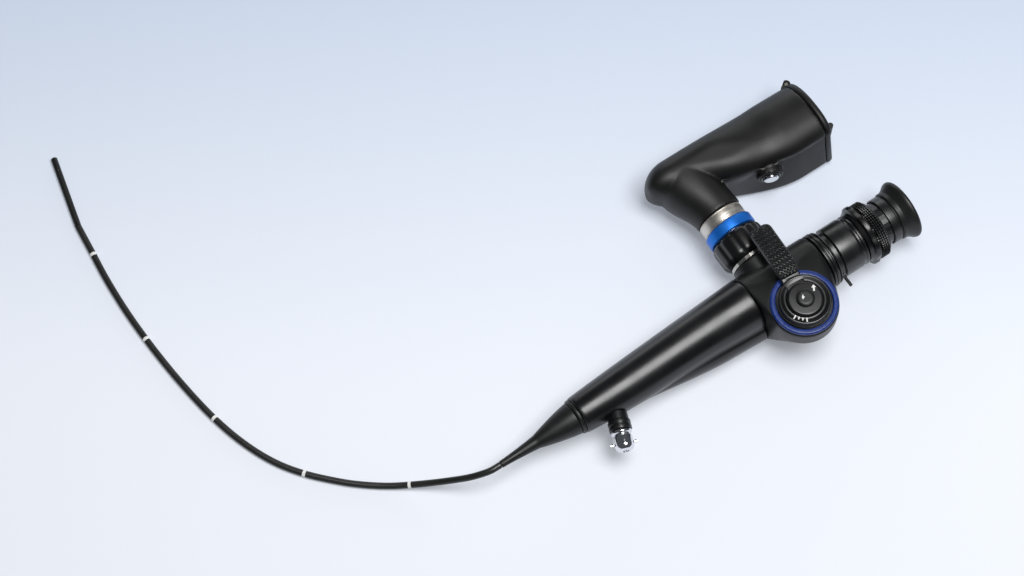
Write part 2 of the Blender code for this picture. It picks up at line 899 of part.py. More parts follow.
def lever_pad(material):
    """The thumb pad, with a row of cross ridges along its upper face."""
    sections = []
    end = ARM_REACH - 0.0006
    steps = PAD_RIDGES * 2
    for k in range(steps + 1):
        x = mix(PAD_START, end, k / steps)
        low = arm_height(x) + ARM_THICKNESS + GAP
        swell = 0.0010 * math.sin(math.pi * k / steps)
        crest = PAD_RIDGE_DEPTH if k % 2 else 0.0
        taper = 0.86 if k in (0, steps) else 1.0
        high = low + PAD_THICKNESS * taper + swell + crest
        sections.append(rounded_band(x, PAD_WIDTH / 2.0 * taper, low, high, 0.0005))
    return lofted("lever_pad", sections, lever_place(), material, 20.0)


def lever_hub_cap(material):
    bottom = disc_bottom() + DISC_THICKNESS + GAP
    outline = [(bottom, 0.0), (bottom, HUB_CAP_R)]
    for k in range(1, 4):
        t = math.radians(90.0 * k / 4.0)
        outline.append((bottom + HUB_CAP_HEIGHT * math.sin(t), HUB_CAP_R * math.cos(t) ** 0.6))
    outline.append((bottom + HUB_CAP_HEIGHT, 0.0))
    return turned("lever_hub_cap", outline, upright(0.0), material, sides=24)


# Eyepiece

def eyepiece_flange(material):
    outline = [
        (0.0, 0.0),
        (0.0, FLANGE_R),
        (FLANGE_WIDTH * 0.55, FLANGE_R),
        (FLANGE_WIDTH * 0.60, FLANGE_R - 0.0012),
        (FLANGE_WIDTH * 0.80, FLANGE_R - 0.0012),
        (FLANGE_WIDTH * 0.85, FLANGE_R - 0.0003),
        (FLANGE_WIDTH, FLANGE_R - 0.0006),
        (FLANGE_WIDTH, 0.0),
    ]
    return turned("eyepiece_flange", outline, along_x(FLANGE_START), material)


def barrel_start():
    return FLANGE_START + FLANGE_WIDTH + GAP


def eyepiece_barrel(material):
    length = BARREL_END - barrel_start()
    outline = [
        (0.0, 0.0),
        (0.0, BARREL_R - BARREL_GROOVE_DEPTH),
        (BARREL_GROOVE_WIDTH, BARREL_R - BARREL_GROOVE_DEPTH),
        (BARREL_GROOVE_WIDTH + 0.0006, BARREL_R),
        (length - 0.0030, BARREL_R),
        (length - 0.0022, BARREL_R - 0.0007),
        (length, BARREL_R - 0.0007),
        (length, 0.0),
    ]
    return turned("eyepiece_barrel", outline, along_x(barrel_start()), material)


def index_pin(material):
    """The small locating pin that stands out of the barrel's front groove on the palm side."""
    middle = barrel_start() + BARREL_GROOVE_WIDTH / 2.0
    out = Matrix.Translation((middle, AXIS_Y, AXIS_Z)) @ Matrix.Rotation(math.radians(90.0), 4, "X")
    start = BARREL_R - BARREL_GROOVE_DEPTH + GAP
    return rod("index_pin", start, start + INDEX_REACH, INDEX_R, out, material, 12, 0.0002)


def sleeve_start():
    return BARREL_END + GAP


def ocular_sleeve(material):
    """The fixed tube that the focus ring turns on; its bore guides the lens cell."""
    length = CUP_START + CUP_SEAT - GAP - sleeve_start()
    outline = [
        (0.0, 0.0),
        (0.0, SLEEVE_R),
        (length, SLEEVE_R),
        (length, SLEEVE_BORE_R),
        (SLEEVE_FLOOR, SLEEVE_BORE_R),
        (SLEEVE_FLOOR, 0.0),
    ]
    return turned("ocular_sleeve", outline, along_x(sleeve_start()), material)


def focus_ring(material):
    inner = SLEEVE_R + RUN

    def ribs(along, radius, angle):
        if radius < FOCUS_R - 0.0012:
            return radius
        return radius - FOCUS_RIB_DEPTH * (0.5 - 0.5 * math.cos(FOCUS_RIBS * angle)) ** 2

    third = FOCUS_WIDTH / 3.0
    outline = [
        (0.0, inner),
        (0.0, BARREL_R - 0.0004),
        (0.0016, FOCUS_R - 0.0022),
        (0.0020, FOCUS_R),
        (third + 0.0008, FOCUS_R),
        (third + 0.0012, FOCUS_R - 0.0007),
        (third + 0.0016, FOCUS_R),
        (FOCUS_WIDTH - 0.0008, FOCUS_R),
        (FOCUS_WIDTH, FOCUS_R - 0.0024),
        (FOCUS_WIDTH, inner),
    ]
    return turned(
        "focus_ring", outline, along_x(sleeve_start() + RUN), material,
        sides=FOCUS_RIBS * 4, closed=True, wave=ribs,
    )


def cell_start():
    """The mount's back end, with room behind it for the focus travel and a stop."""
    return sleeve_start() + SLEEVE_FLOOR + CELL_TRAVEL + 0.0015


def lens_seat():
    return MOUNT_LENGTH - LENS_THICKNESS - MOUNT_LIP


def lens_cell(material):
    """The sliding mount of the eye lens."""
    outer = SLEEVE_BORE_R - RUN
    bore = LENS_R - LENS_SHOULDER
    outline = [
        (0.0, bore - 0.0012),
        (0.0, outer),
        (MOUNT_LENGTH, outer),
        (MOUNT_LENGTH, bore),
        (lens_seat(), bore),
        (lens_seat(), bore - 0.0012),
    ]
    return turned("lens_cell", outline, along_x(cell_start()), material, sides=28, closed=True)


def eye_lens(material):
    """A biconvex lens resting on the cell's inner shoulder."""
    rim = LENS_R - LENS_SHOULDER - GAP
    base = cell_start() + lens_seat() + GAP
    bulge = 0.0007
    steps = (0.0, 0.4, 0.75, 1.0)
    front = [(bulge * (t * t), rim * t) for t in steps]
    back = [(LENS_THICKNESS - bulge * (t * t), rim * t) for t in reversed(steps)]
    return turned("eye_lens", front + back, along_x(base), material, sides=24)


def eyecup(material):
    bore = SLEEVE_R + GAP
    length = CUP_END - CUP_START
    flare = length - 0.0060
    outline = [
        (0.0, bore),
        (0.0, CUP_NECK_R),
        (flare * 0.55, CUP_NECK_R - 0.0004),
        (flare, CUP_NECK_R + 0.0002),
        (flare + 0.0022, CUP_R - 0.0006),
        (flare + 0.0036, CUP_R),
        (length - 0.0008, CUP_R),
        (length, CUP_R - 0.0009),
        (length, CUP_MOUTH_R),
        (CUP_SEAT + 0.0030, CUP_THROAT_R),
        (CUP_SEAT, CUP_THROAT_R),
        (CUP_SEAT, bore),
    ]
    return turned("eyecup", outline, along_x(CUP_START), material, closed=True)


# Light connector

def light_post(material):
    """The screwed post that carries light into the fibre bundle."""
    start = NECK_END + GAP
    shoulder = NOSE_START - GAP
    outline = [
        (start, 0.0),
        (start, POST_FLANGE_R),
        (start + POST_FLANGE_WIDTH, POST_FLANGE_R),
        (start + POST_FLANGE_WIDTH, POST_R),
        (shoulder, POST_R),
        (shoulder, POST_TIP_R),
        (shoulder + POST_TIP_LENGTH, POST_TIP_R),
        (shoulder + POST_TIP_LENGTH, 0.0),
    ]
    return turned("light_post", outline, along_y(0.0), material, sides=28)


def nut_start():
    return NECK_END + GAP + POST_FLANGE_WIDTH + GAP


def union_nut(material):
    bore = POST_R + RUN

    def flutes(along, radius, angle):
        if radius < NUT_R - 0.0008:
            return radius
        return radius - NUT_RIB_DEPTH * (0.5 + 0.5 * math.cos(NUT_RIBS * angle)) ** 3

    length = NOSE_START - GAP - nut_start()
    outline = [
        (0.0, bore),
        (0.0, NUT_R - 0.0022),
        (0.0018, NUT_R - 0.0004),
        (0.0030, NUT_R),
        (length - 0.0018, NUT_R),
        (length - 0.0006, NUT_R - 0.0005),
        (length, NUT_R - 0.0014),
        (length, bore),
    ]
    return turned(
        "union_nut", outline, along_y(nut_start()), material,
        sides=NUT_RIBS * 4, closed=True, wave=flutes,
    )


def source_nose(material):
    outline = [
        (NOSE_START, NOSE_BORE_R),
        (NOSE_START, NOSE_R),
        (NOSE_SEAT - GAP, NOSE_R),
        (NOSE_SEAT - GAP, NOSE_BORE_R),
    ]
    return turned("source_nose", outline, along_y(0.0), material, closed=True)


def band(name, start, width, radius, material):
    inner = NOSE_R + GAP
    cut = 0.0004
    outline = [
        (start, inner),
        (start, radius - cut),
        (start + cut, radius),
        (start + width - cut, radius),
        (start + width, radius - cut),
        (start + width, inner),
    ]
    return turned(name, outline, along_y(0.0), material, sides=36, closed=True)


def blue_start():
    return NOSE_START + GAP


def steel_start():
    return blue_start() + BLUE_WIDTH + GAP


def neck_start():
    return steel_start() + STEEL_WIDTH + GAP


# Light source

def box_section(x, y0, y1, z0, z1, top, base):
    """A rounded section in the plane across X: large rounds on top, small ones at the base."""
    ring = []
    corners = (
        (y1 - top, z1 - top, top, 0.0),
        (y0 + top, z1 - top, top, 90.0),
        (y0 + base, z0 + base, base, 180.0),
        (y1 - base, z0 + base, base, 270.0),
    )
    for cy, cz, radius, first in corners:
        for k in range(6):
            angle = math.radians(first + 90.0 * k / 5.0)
            ring.append(Vector((x, cy + radius * math.cos(angle), cz + radius * math.sin(angle))))
    return ring


def source_front(x):
    """The front wall slants forward from the elbow to the lid end."""
    reach = (x - SHOULDER_START_X) / (SHOULDER_END_X - SHOULDER_START_X)
    return mix(SOURCE_FRONT_Y + SHOULDER_DEPTH, SOURCE_FRONT_Y, smoothstep(reach))


def source_section(x):
    """The battery body across X: full height to the right, closing in a round end behind the elbow."""
    t = min(1.0, max(0.0, (x - SOURCE_LEFT_X) / SOURCE_END_ROUND))
    shrink = SOURCE_END_SHRINK * (1.0 - math.sqrt(1.0 - (1.0 - t) ** 2))
    front = source_front(x)
    back = SOURCE_BACK_Y - 1.2 * shrink
    swell = SOURCE_SWELL * smoothstep((x - SWELL_START_X) / (SWELL_END_X - SWELL_START_X))
    top = SOURCE_HEIGHT - SOURCE_SWELL + swell - shrink
    crown = SOURCE_TOP_ROUND - shrink
    return box_section(x, front + 0.4 * shrink, back, 0.5 * shrink, top, crown, SOURCE_BASE_ROUND)


def source_body_form(material):
    """Sections on an arc where the end rounds off, then evenly along the body and its swell."""
    stations = []
    for k in range(7):
        angle = math.radians(15.0 * k)
        stations.append(SOURCE_LEFT_X + SOURCE_END_ROUND * (1.0 - math.cos(angle)))
    stations += [mix(stations[-1], SHOULDER_END_X, k / 9.0) for k in range(1, 10)]
    stations.append(SOURCE_RIGHT_X)
    sections = [source_section(x) for x in stations]
    return lofted("source_housing", sections, Matrix.Identity(4), material, 40.0)


def elbow_form(material):
    """The elbow: round at the neck, widening into the end of the battery body."""
    sections = []
    count = 8
    sides = 36
    end = SOURCE_BACK_Y - ELBOW_BACK
    for j in range(count + 1):
        t = j / count
        s = smoothstep(t * 1.15)
        centre = Vector((mix(LIGHT_X, ELBOW_X, s), mix(neck_start(), end, t), mix(LIGHT_Z, ELBOW_Z, s)))
        half = mix(SOURCE_NECK_R, ELBOW_HALF, s)
        tall = mix(SOURCE_NECK_R, ELBOW_TALL, s)
        power = mix(1.0, 0.72, s)
        ring = []
        for k in range(sides):
            angle = 2.0 * math.pi * k / sides
            c = math.cos(angle)
            d = math.sin(angle)
            x = half * math.copysign(abs(c) ** power, c)
            z = tall * math.copysign(abs(d) ** power, d)
            ring.append(centre + Vector((x, 0.0, z)))
        sections.append(ring)
    return lofted("elbow_form", sections, Matrix.Identity(4), material, 40.0)


def cell_centres():
    return (CELL_MIDDLE_Y - CELL_PITCH / 2.0, CELL_MIDDLE_Y + CELL_PITCH / 2.0)


def cell_start_x():
    return BAY_START_X + SPRING_ROOM


def bay_form(material):
    """The battery bay: a slot with round ends, open at the lid."""
    radius = CELL_R + BAY_CLEAR
    low, high = cell_centres()
    ring = []
    for centre, first in ((high, -90.0), (low, 90.0)):
        for k in range(9):
            angle = math.radians(first + 180.0 * k / 8.0)
            ring.append((centre + radius * math.cos(angle), CELL_Z + radius * math.sin(angle)))
    ends = (BAY_START_X, SOURCE_RIGHT_X + WELL_OVERRUN)
    sections = [[Vector((x, y, z)) for y, z in ring] for x in ends]
    return lofted("bay_form", sections, Matrix.Identity(4), material)


def source_housing(material):
    body = source_body_form(material)
    boolean(body, elbow_form(material), "UNION")
    boolean(body, bay_form(material), "DIFFERENCE")
    overrun = neck_start() - WELL_OVERRUN
    nose_r = NOSE_R + GAP
    lamp_r = LAMP_R + GAP
    lamp_end = NOSE_SEAT + LAMP_LENGTH + GAP
    outline = [(overrun, 0.0), (overrun, nose_r), (NOSE_SEAT, nose_r), (NOSE_SEAT, lamp_r)]
    outline += [(lamp_end, lamp_r), (lamp_end, 0.0)]
    boolean(body, turned("nose_socket_form", outline, along_y(0.0), material), "DIFFERENCE")
    well_r = BUTTON_BEZEL_R + GAP
    well = rod("button_well_form", -WELL_OVERRUN, BUTTON_WELL, well_r, button_place(), material)
    boolean(body, well, "DIFFERENCE")
    hinge_cut = rod("lid_knuckle_form", *lid_knuckle_span(GAP), KNUCKLE_R + RUN, lid_pin_place(), material)
    boolean(body, hinge_cut, "DIFFERENCE")
    for number, span in enumerate(side_knuckle_spans(), start=1):
        boolean(body, side_knuckle_form(number, span, material), "UNION")
    boolean(body, pin_bore_form("housing", material), "DIFFERENCE")
    return body


def lamp_module(material):
    """The light-emitting diode on its finned heat sink."""
    start = NOSE_SEAT + GAP
    end = start + LAMP_LENGTH - GAP
    shelf = start + 0.0010
    groove = LAMP_R - LAMP_FIN_DEPTH
    outline = [(start, 0.0), (start, LAMP_FACE_R), (shelf, LAMP_FACE_R), (shelf, LAMP_R)]
    for k in range(3):
        y = shelf + LAMP_FIN * (2.0 * k + 1.0)
        outline += [(y, LAMP_R), (y, groove), (y + LAMP_FIN, groove), (y + LAMP_FIN, LAMP_R)]
    outline += [(end, LAMP_R), (end, 0.0)]
    return turned("lamp_module", outline, along_y(0.0), material, sides=20)


def condenser_lens(material):
    """The lens that gathers the lamp's light onto the post."""
    start = NOSE_START + CONDENSER_BACK
    rim = NOSE_BORE_R - GAP
    edge = 0.0018
    dome = 0.0024
    outline = [(start, 0.0), (start, rim), (start + edge, rim)]
    for k in range(1, 5):
        t = math.radians(90.0 * k / 5.0)
        outline.append((start + edge + dome * math.sin(t), rim * math.cos(t)))
    outline.append((start + edge + dome, 0.0))
    return turned("condenser_lens", outline, along_y(0.0), material, sides=24)


def battery_cell(name, centre, flipped, material):
    """A round cell with its raised contact at one end."""
    nub = 0.0010
    nub_r = 0.0019
    outline = [
        (0.0, 0.0),
        (0.0, CELL_R - 0.0004),
        (0.0004, CELL_R),
        (CELL_LENGTH - nub - 0.0004, CELL_R),
        (CELL_LENGTH - nub, CELL_R - 0.0004),
        (CELL_LENGTH - nub, nub_r),
        (CELL_LENGTH, nub_r),
        (CELL_LENGTH, 0.0),
    ]
    if flipped:
        outline = [(CELL_LENGTH - along, radius) for along, radius in reversed(outline)]
    return turned(name, outline, along_x(cell_start_x(), centre, CELL_Z), material, sides=24)


def contact_spring(name, centre, material):
    """A conical contact spring between the bay's end wall and a cell."""
    room = SPRING_ROOM - 2.0 * GAP - 2.0 * SPRING_WIRE_R
    steps = 20
    points = []
    for k in range(steps + 1):
        t = k / steps
        angle = 2.0 * math.pi * SPRING_TURNS * t
        radius = mix(SPRING_WIDE_R, SPRING_NARROW_R, t)
        x = cell_start_x() - GAP - SPRING_WIRE_R - room * (1.0 - t)
        points.append(Vector((x, centre + radius * math.cos(angle), CELL_Z + radius * math.sin(angle))))
    return points_wire(name, points, SPRING_WIRE_R, 6, material)


def points_wire(name, points, radius, sides, material):
    """A round wire swept through points, with flat ends."""
    sections = []
    for i, point in enumerate(points):
        ahead = points[min(i + 1, len(points) - 1)]
        back = points[max(i - 1, 0)]
        forward = (ahead - back).normalized()
        side = forward.cross(Vector((1.0, 0.0, 0.0))).normalized()
        up = side.cross(forward)
        ring = []
        for k in range(sides):
            angle = 2.0 * math.pi * k / sides
            ring.append(point + radius * (side * math.cos(angle) + up * math.sin(angle)))
        sections.append(ring)
    return lofted(name, sections, Matrix.Identity(4), material, 60.0)


def lid_pin_place():
    """The lid's hinge line, upright at the back corner of the lid."""
    return upright(0.0, SOURCE_RIGHT_X + GAP + LID_HINGE_X, SOURCE_BACK_Y + LID_HINGE_Y)


def lid_knuckle_span(room):
    """The middle third of the hinge, which belongs to the lid."""
    third = (HINGE_TOP - HINGE_BOTTOM) / 3.0
    return (HINGE_BOTTOM + third - room, HINGE_TOP - third + room)


def side_knuckle_spans():
    low, high = lid_knuckle_span(GAP)
    return ((HINGE_BOTTOM, low), (high, HINGE_TOP))


def side_knuckle_form(number, span, material):
    """A knuckle of the housing: round about the pin, with a web back into the housing's corner."""
    pin = lid_pin_place().translation
    web_x = SOURCE_RIGHT_X - 0.0022
    ring = [(web_x, SOURCE_BACK_Y - 0.0001), (web_x, pin.y - KNUCKLE_R)]
    for k in range(9):
        angle = math.radians(-90.0 + 180.0 * k / 8.0)
        ring.append((pin.x + KNUCKLE_R * math.cos(angle), pin.y + KNUCKLE_R * math.sin(angle)))
    sections = [[Vector((x, y, z)) for x, y in ring] for z in span]
    return lofted(f"side_knuckle_form_{number}", sections, Matrix.Identity(4), material)


def pin_bore_form(owner, material):
    name = f"{owner}_pin_bore_form"
    low = HINGE_BOTTOM - WELL_OVERRUN
    high = HINGE_TOP + WELL_OVERRUN
    return rod(name, low, high, LID_PIN_R + RUN, lid_pin_place(), material, sides=20)


def lid_section(x, inset):
    ring = source_section(SOURCE_RIGHT_X)
    middle = sum(ring, Vector()) / len(ring)
    points = []
    for point in ring:
        inward = (middle - point).normalized() * inset
        points.append(Vector((x, point.y + inward.y, max(0.0, point.z + inward.z))))
    return points


def lid_lip_form(material):
    """The upright lip near the lid's front edge that a fingernail opens it by."""
    back = SOURCE_RIGHT_X + GAP + LID_THICKNESS / 2.0
    out = SOURCE_RIGHT_X + GAP + LID_THICKNESS + LIP_PROUD
    cut = 0.0005
    half = LIP_WIDTH / 2.0
    ring = [
        (back, LIP_Y - half),
        (out - cut, LIP_Y - half),
        (out, LIP_Y - half + cut),
        (out, LIP_Y + half - cut),
        (out - cut, LIP_Y + half),
        (back, LIP_Y + half),
    ]
    sections = [[Vector((x, y, z)) for x, y in ring] for z in (LIP_BOTTOM, LIP_TOP)]
    return lofted("lid_lip_form", sections, Matrix.Identity(4), material)


def battery_lid(material):
    """The bay's end lid, with rounded edges, its finger lip and the middle knuckle of its hinge."""
    start = SOURCE_RIGHT_X + GAP
    outer = start + LID_THICKNESS
    sections = [
        lid_section(start, 0.0),
        lid_section(start + 0.0008, -0.0004),
        lid_section(outer - 0.0014, -0.0002),
        lid_section(outer - 0.0004, 0.0012),
        lid_section(outer, 0.0032),
    ]
    lid = lofted("battery_lid", sections, Matrix.Identity(4), material, 40.0)
    boolean(lid, lid_lip_form(material), "UNION")
    for number, span in enumerate(side_knuckle_spans(), start=1):
        low = span[0] - GAP
        high = span[1] + GAP
        notch = rod(f"lid_notch_form_{number}", low, high, KNUCKLE_R + RUN, lid_pin_place(), material)
        boolean(lid, notch, "DIFFERENCE")
    knuckle = rod("lid_barrel_form", *lid_knuckle_span(0.0), KNUCKLE_R, lid_pin_place(), material, sides=24)
    boolean(lid, knuckle, "UNION")
    boolean(lid, pin_bore_form("lid", material), "DIFFERENCE")
    return lid


def lid_pin(material):
    return rod("lid_pin", HINGE_BOTTOM, HINGE_TOP, LID_PIN_R, lid_pin_place(), material, 16, 0.0002)


def button_place():
    """Local +Z points into the battery body, square to the slant of its front wall."""
    step = 0.0005
    rise = source_front(BUTTON_X + step) - source_front(BUTTON_X - step)
    turn = Matrix.Rotation(math.atan2(rise, 2.0 * step), 4, "Z")
    wall = Matrix.Translation((BUTTON_X, source_front(BUTTON_X), BUTTON_Z))
    return wall @ turn @ Matrix.Rotation(math.radians(-90.0), 4, "X")


def button_bezel(material):
    bottom = BUTTON_WELL - GAP
    inner = BUTTON_R + RUN
    outline = [(bottom, inner), (bottom, BUTTON_BEZEL_R), (-0.0005, BUTTON_BEZEL_R), (-0.0005, inner)]
    return turned("button_bezel", outline, button_place(), material, sides=24, closed=True)


def power_button(material):
    back = BUTTON_WELL - GAP - BUTTON_TRAVEL
    outline = [
        (back, 0.0),
        (back, BUTTON_R),
        (-BUTTON_PROUD + 0.0006, BUTTON_R),
        (-BUTTON_PROUD, BUTTON_R - 0.0008),
        (-BUTTON_PROUD + 0.0002, 0.0),
    ]
    return turned("power_button", outline, button_place(), material, sides=24)


def build():
    clear_scene()
    rubber = tube_rubber()
    boot_black = boot_rubber()
    grip_black = grip_plastic()
    head_black = head_plastic()
    blue = blue_plastic()
    source_black = source_plastic()
    dark_metal = black_metal()
    bare_steel = steel()
    bright = chrome()
    glass = lens_glass()
    wrap = cell_wrap()

    insertion_tube(rubber)
    bending_section(rubber, bare_steel)
    boot(boot_black)
    boot_ring(boot_black)
    grip(grip_black)
    vent_collar(dark_metal)
    vent_connector(bright)
    vent_pins(bright)

    head_housing(head_black)
    base_cap(head_black)
    base_screws(bare_steel)
    side_plate(dark_metal)
    accent_ring(blue)
    angulation_drum(bare_steel)
    lever_disc(grip_black)
    lever_pad(dark_metal)
    lever_hub_cap(dark_metal)

    eyepiece_flange(dark_metal)
    eyepiece_barrel(dark_metal)
    index_pin(dark_metal)
    ocular_sleeve(dark_metal)
    focus_ring(grip_black)
    lens_cell(dark_metal)
    eye_lens(glass)
    eyecup(boot_black)

    light_post(bare_steel)
    union_nut(grip_black)
    source_nose(bare_steel)
    band("blue_band", blue_start(), BLUE_WIDTH, BLUE_R, blue)
    band("steel_band", steel_start(), STEEL_WIDTH, STEEL_R, bare_steel)
    condenser_lens(glass)
    lamp_module(bare_steel)
    source_housing(source_black)
    low, high = cell_centres()
    battery_cell("battery_cell_1", low, False, wrap)
    battery_cell("battery_cell_2", high, True, wrap)
    contact_spring("contact_spring_1", low, bare_steel)
    contact_spring("contact_spring_2", high, bare_steel)
    battery_lid(source_black)
    lid_pin(bare_steel)
    button_bezel(dark_metal)
    power_button(bright)


build()
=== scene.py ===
"""Finishes and fine shapes of a portable flexible endoscope, on a pale table under soft studio light.

Metres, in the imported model's frame: +X along the grip to the eyepiece, +Y along the light connector.
"""

import json
import math

import bmesh
import bpy
from mathutils import Matrix, Vector


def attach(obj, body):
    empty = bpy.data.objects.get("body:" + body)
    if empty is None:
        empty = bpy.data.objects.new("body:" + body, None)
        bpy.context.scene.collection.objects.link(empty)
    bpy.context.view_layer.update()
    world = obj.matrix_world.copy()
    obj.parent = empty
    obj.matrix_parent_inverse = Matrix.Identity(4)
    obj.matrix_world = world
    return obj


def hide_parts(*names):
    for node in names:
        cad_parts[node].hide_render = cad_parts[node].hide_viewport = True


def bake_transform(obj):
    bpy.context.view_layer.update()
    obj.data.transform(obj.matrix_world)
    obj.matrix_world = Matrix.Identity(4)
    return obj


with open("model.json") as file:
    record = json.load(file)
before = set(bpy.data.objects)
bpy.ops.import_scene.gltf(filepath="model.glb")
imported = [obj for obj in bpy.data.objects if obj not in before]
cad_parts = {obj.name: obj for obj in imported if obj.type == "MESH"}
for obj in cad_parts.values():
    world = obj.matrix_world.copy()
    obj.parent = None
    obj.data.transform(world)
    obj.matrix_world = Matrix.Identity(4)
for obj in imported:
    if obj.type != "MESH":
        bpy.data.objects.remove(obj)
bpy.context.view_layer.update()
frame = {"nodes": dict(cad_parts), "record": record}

MM = 0.001
BODY_OF = {}
for body, members in frame["record"]["behaviour"]["bodies"].items():
    for member in members:
        BODY_OF[member] = body

# Main axes of the instrument
GRIP_Y = 17.0 * MM
GRIP_Z = 19.0 * MM
LIGHT_X = -3.0 * MM
LIGHT_Z = 19.0 * MM


# Camera

CAMERA_PLACE = Vector((-0.3707, -0.3121, 1.2669))
CAMERA_TILT = math.radians(21.0)
CAMERA_TURN = math.radians(-33.7)
CAMERA_LENS_MM = 100.0
CAMERA_SENSOR_MM = 36.0
CAMERA_NEAR = 0.05
CAMERA_FAR = 30.0


def place_camera():
    data = bpy.data.cameras.new("camera")
    data.lens = CAMERA_LENS_MM
    data.sensor_width = CAMERA_SENSOR_MM
    data.clip_start = CAMERA_NEAR
    data.clip_end = CAMERA_FAR
    camera = bpy.data.objects.new("camera", data)
    bpy.context.scene.collection.objects.link(camera)
    camera.location = CAMERA_PLACE
    camera.rotation_euler = (CAMERA_TILT, 0.0, CAMERA_TURN)
    bpy.context.scene.camera = camera


place_camera()


# Small tools for meshes

ON_AXIS = 1e-7
SHARP_OVER = 38.0
FLAT_UNDER = 14.0
FILLET_SHARE = 0.42


def lerp(a, b, t):
    return a + (b - a) * t


def ease(t):
    t = min(1.0, max(0.0, t))
    return t * t * (3.0 - 2.0 * t)


def along_x(x, y=GRIP_Y, z=GRIP_Z):
    """Local +Z becomes world +X."""
    return Matrix.Translation((x, y, z)) @ Matrix.Rotation(math.radians(90.0), 4, "Y")


def along_y(y, x=LIGHT_X, z=LIGHT_Z):
    """Local +Z becomes world +Y."""
    return Matrix.Translation((x, y, z)) @ Matrix.Rotation(math.radians(-90.0), 4, "X")


def upright(z, x=0.0, y=0.0):
    return Matrix.Translation((x, y, z))


def piece_from(name, shape, material, sharp=SHARP_OVER):
    """A finished object in world coordinates, smooth apart from edges over the sharp angle."""
    bmesh.ops.recalc_face_normals(shape, faces=shape.faces[:])
    mesh = bpy.data.meshes.new(name)
    shape.to_mesh(mesh)
    shape.free()
    mesh.shade_smooth()
    mesh.set_sharp_from_angle(angle=math.radians(sharp))
    piece = bpy.data.objects.new(name, mesh)
    bpy.context.scene.collection.objects.link(piece)
    mesh.materials.append(material)
    return piece


def filleted(outline, size, closed, steps=4):
    """Round each corner of an outline of (along, radius) points with a short curve."""
    count = len(outline)
    points = []
    for i, here in enumerate(outline):
        corner = Vector(here)
        ends = not closed and i in (0, count - 1)
        if ends or corner.y < ON_AXIS:
            points.append(here)
            continue
        back = Vector(outline[i - 1]) - corner
        ahead = Vector(outline[(i + 1) % count]) - corner
        if math.degrees(back.angle(-ahead)) < FLAT_UNDER:
            points.append(here)
            continue
        reach = min(size, FILLET_SHARE * back.length, FILLET_SHARE * ahead.length)
        first = corner + back.normalized() * reach
        last = corner + ahead.normalized() * reach
        for k in range(steps + 1):
            t = k / steps
            points.append(tuple(first.lerp(corner, t).lerp(corner.lerp(last, t), t)))
    return points


def turned(
    name, outline, place, material, sides=96, closed=False, fillet=0.3 * MM, wave=None, sharp=SHARP_OVER
):
    """Turn an outline of (along, radius) points about the local Z of place; wave changes a radius."""
    points = filleted(outline, fillet, closed) if fillet else list(outline)
    shape = bmesh.new()
    rows = []
    for along, radius in points:
        if radius < ON_AXIS:
            rows.append([shape.verts.new(place @ Vector((0.0, 0.0, along)))])
            continue
        row = []
        for k in range(sides):
            angle = 2.0 * math.pi * k / sides
            r = wave(along, radius, angle) if wave else radius
            row.append(shape.verts.new(place @ Vector((r * math.cos(angle), r * math.sin(angle), along))))
        rows.append(row)
    pairs = list(zip(rows, rows[1:]))
    if closed:
        pairs.append((rows[-1], rows[0]))
    for low, high in pairs:
        for k in range(sides):
            n = (k + 1) % sides
            if len(low) == 1:
                shape.faces.new((low[0], high[k], high[n]))
            elif len(high) == 1:
                shape.faces.new((low[k], low[n], high[0]))
            else:
                shape.faces.new((low[k], low[n], high[n], high[k]))
    return piece_from(name, shape, material, sharp)


def skinned(name, rings, material, sharp=SHARP_OVER):
    """Skin equal rings of points and close both ends."""
    shape = bmesh.new()
    rows = [[shape.verts.new(p) for p in ring] for ring in rings]
    count = len(rows[0])
    for low, high in zip(rows, rows[1:]):
        for k in range(count):
            n = (k + 1) % count
            shape.faces.new((low[k], low[n], high[n], high[k]))
    shape.faces.new(rows[0])
    shape.faces.new(rows[-1])
    return piece_from(name, shape, material, sharp)


def carve(piece, cutter, operation="DIFFERENCE"):
    """Cut or join one form at once and drop the cutter."""
    step = piece.modifiers.new("carve", "BOOLEAN")
    step.operation = operation
    step.solver = "EXACT"
    step.object = cutter
    apply_modifiers(piece)
    bpy.data.objects.remove(cutter, do_unlink=True)
    return piece


def apply_modifiers(piece):
    """Swap the mesh for its evaluated self, so that no modifier is left on the piece."""
    graph = bpy.context.evaluated_depsgraph_get()
    mesh = bpy.data.meshes.new_from_object(piece.evaluated_get(graph))
    piece.modifiers.clear()
    piece.data = mesh
    return piece


def edges_over(piece, angle):
    """Smooth the whole piece apart from edges sharper than an angle in degrees."""
    piece.data.shade_smooth()
    piece.data.set_sharp_from_angle(angle=math.radians(angle))


def stands_for(piece, *nodes):
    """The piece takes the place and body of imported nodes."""
    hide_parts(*nodes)
    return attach(piece, BODY_OF[nodes[0]])


def trim(piece, node):
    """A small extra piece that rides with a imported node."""
    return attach(piece, BODY_OF[node])


# Materials

def linear(code):
    """An sRGB hex code as linear red, green, blue and alpha."""
    channels = []
    for k in (1, 3, 5):
        value = int(code[k : k + 2], 16) / 255.0
        channels.append(value / 12.92 if value <= 0.04045 else ((value + 0.055) / 1.055) ** 2.4)
    return (*channels, 1.0)


def add(tree, kind, inputs=None, **settings):
    """Add one node, with its settings, and its sockets set to values or linked from other sockets."""
    item = tree.nodes.new("ShaderNode" + kind)
    for name, value in settings.items():
        setattr(item, name, value)
    for socket, value in (inputs or {}).items():
        if isinstance(value, bpy.types.NodeSocket):
            tree.links.new(value, item.inputs[socket])
        else:
            item.inputs[socket].default_value = value
    return item


def per_metre(size_mm):
    """The scale that makes a pattern repeat at a real size."""
    return 1.0 / (size_mm * MM)


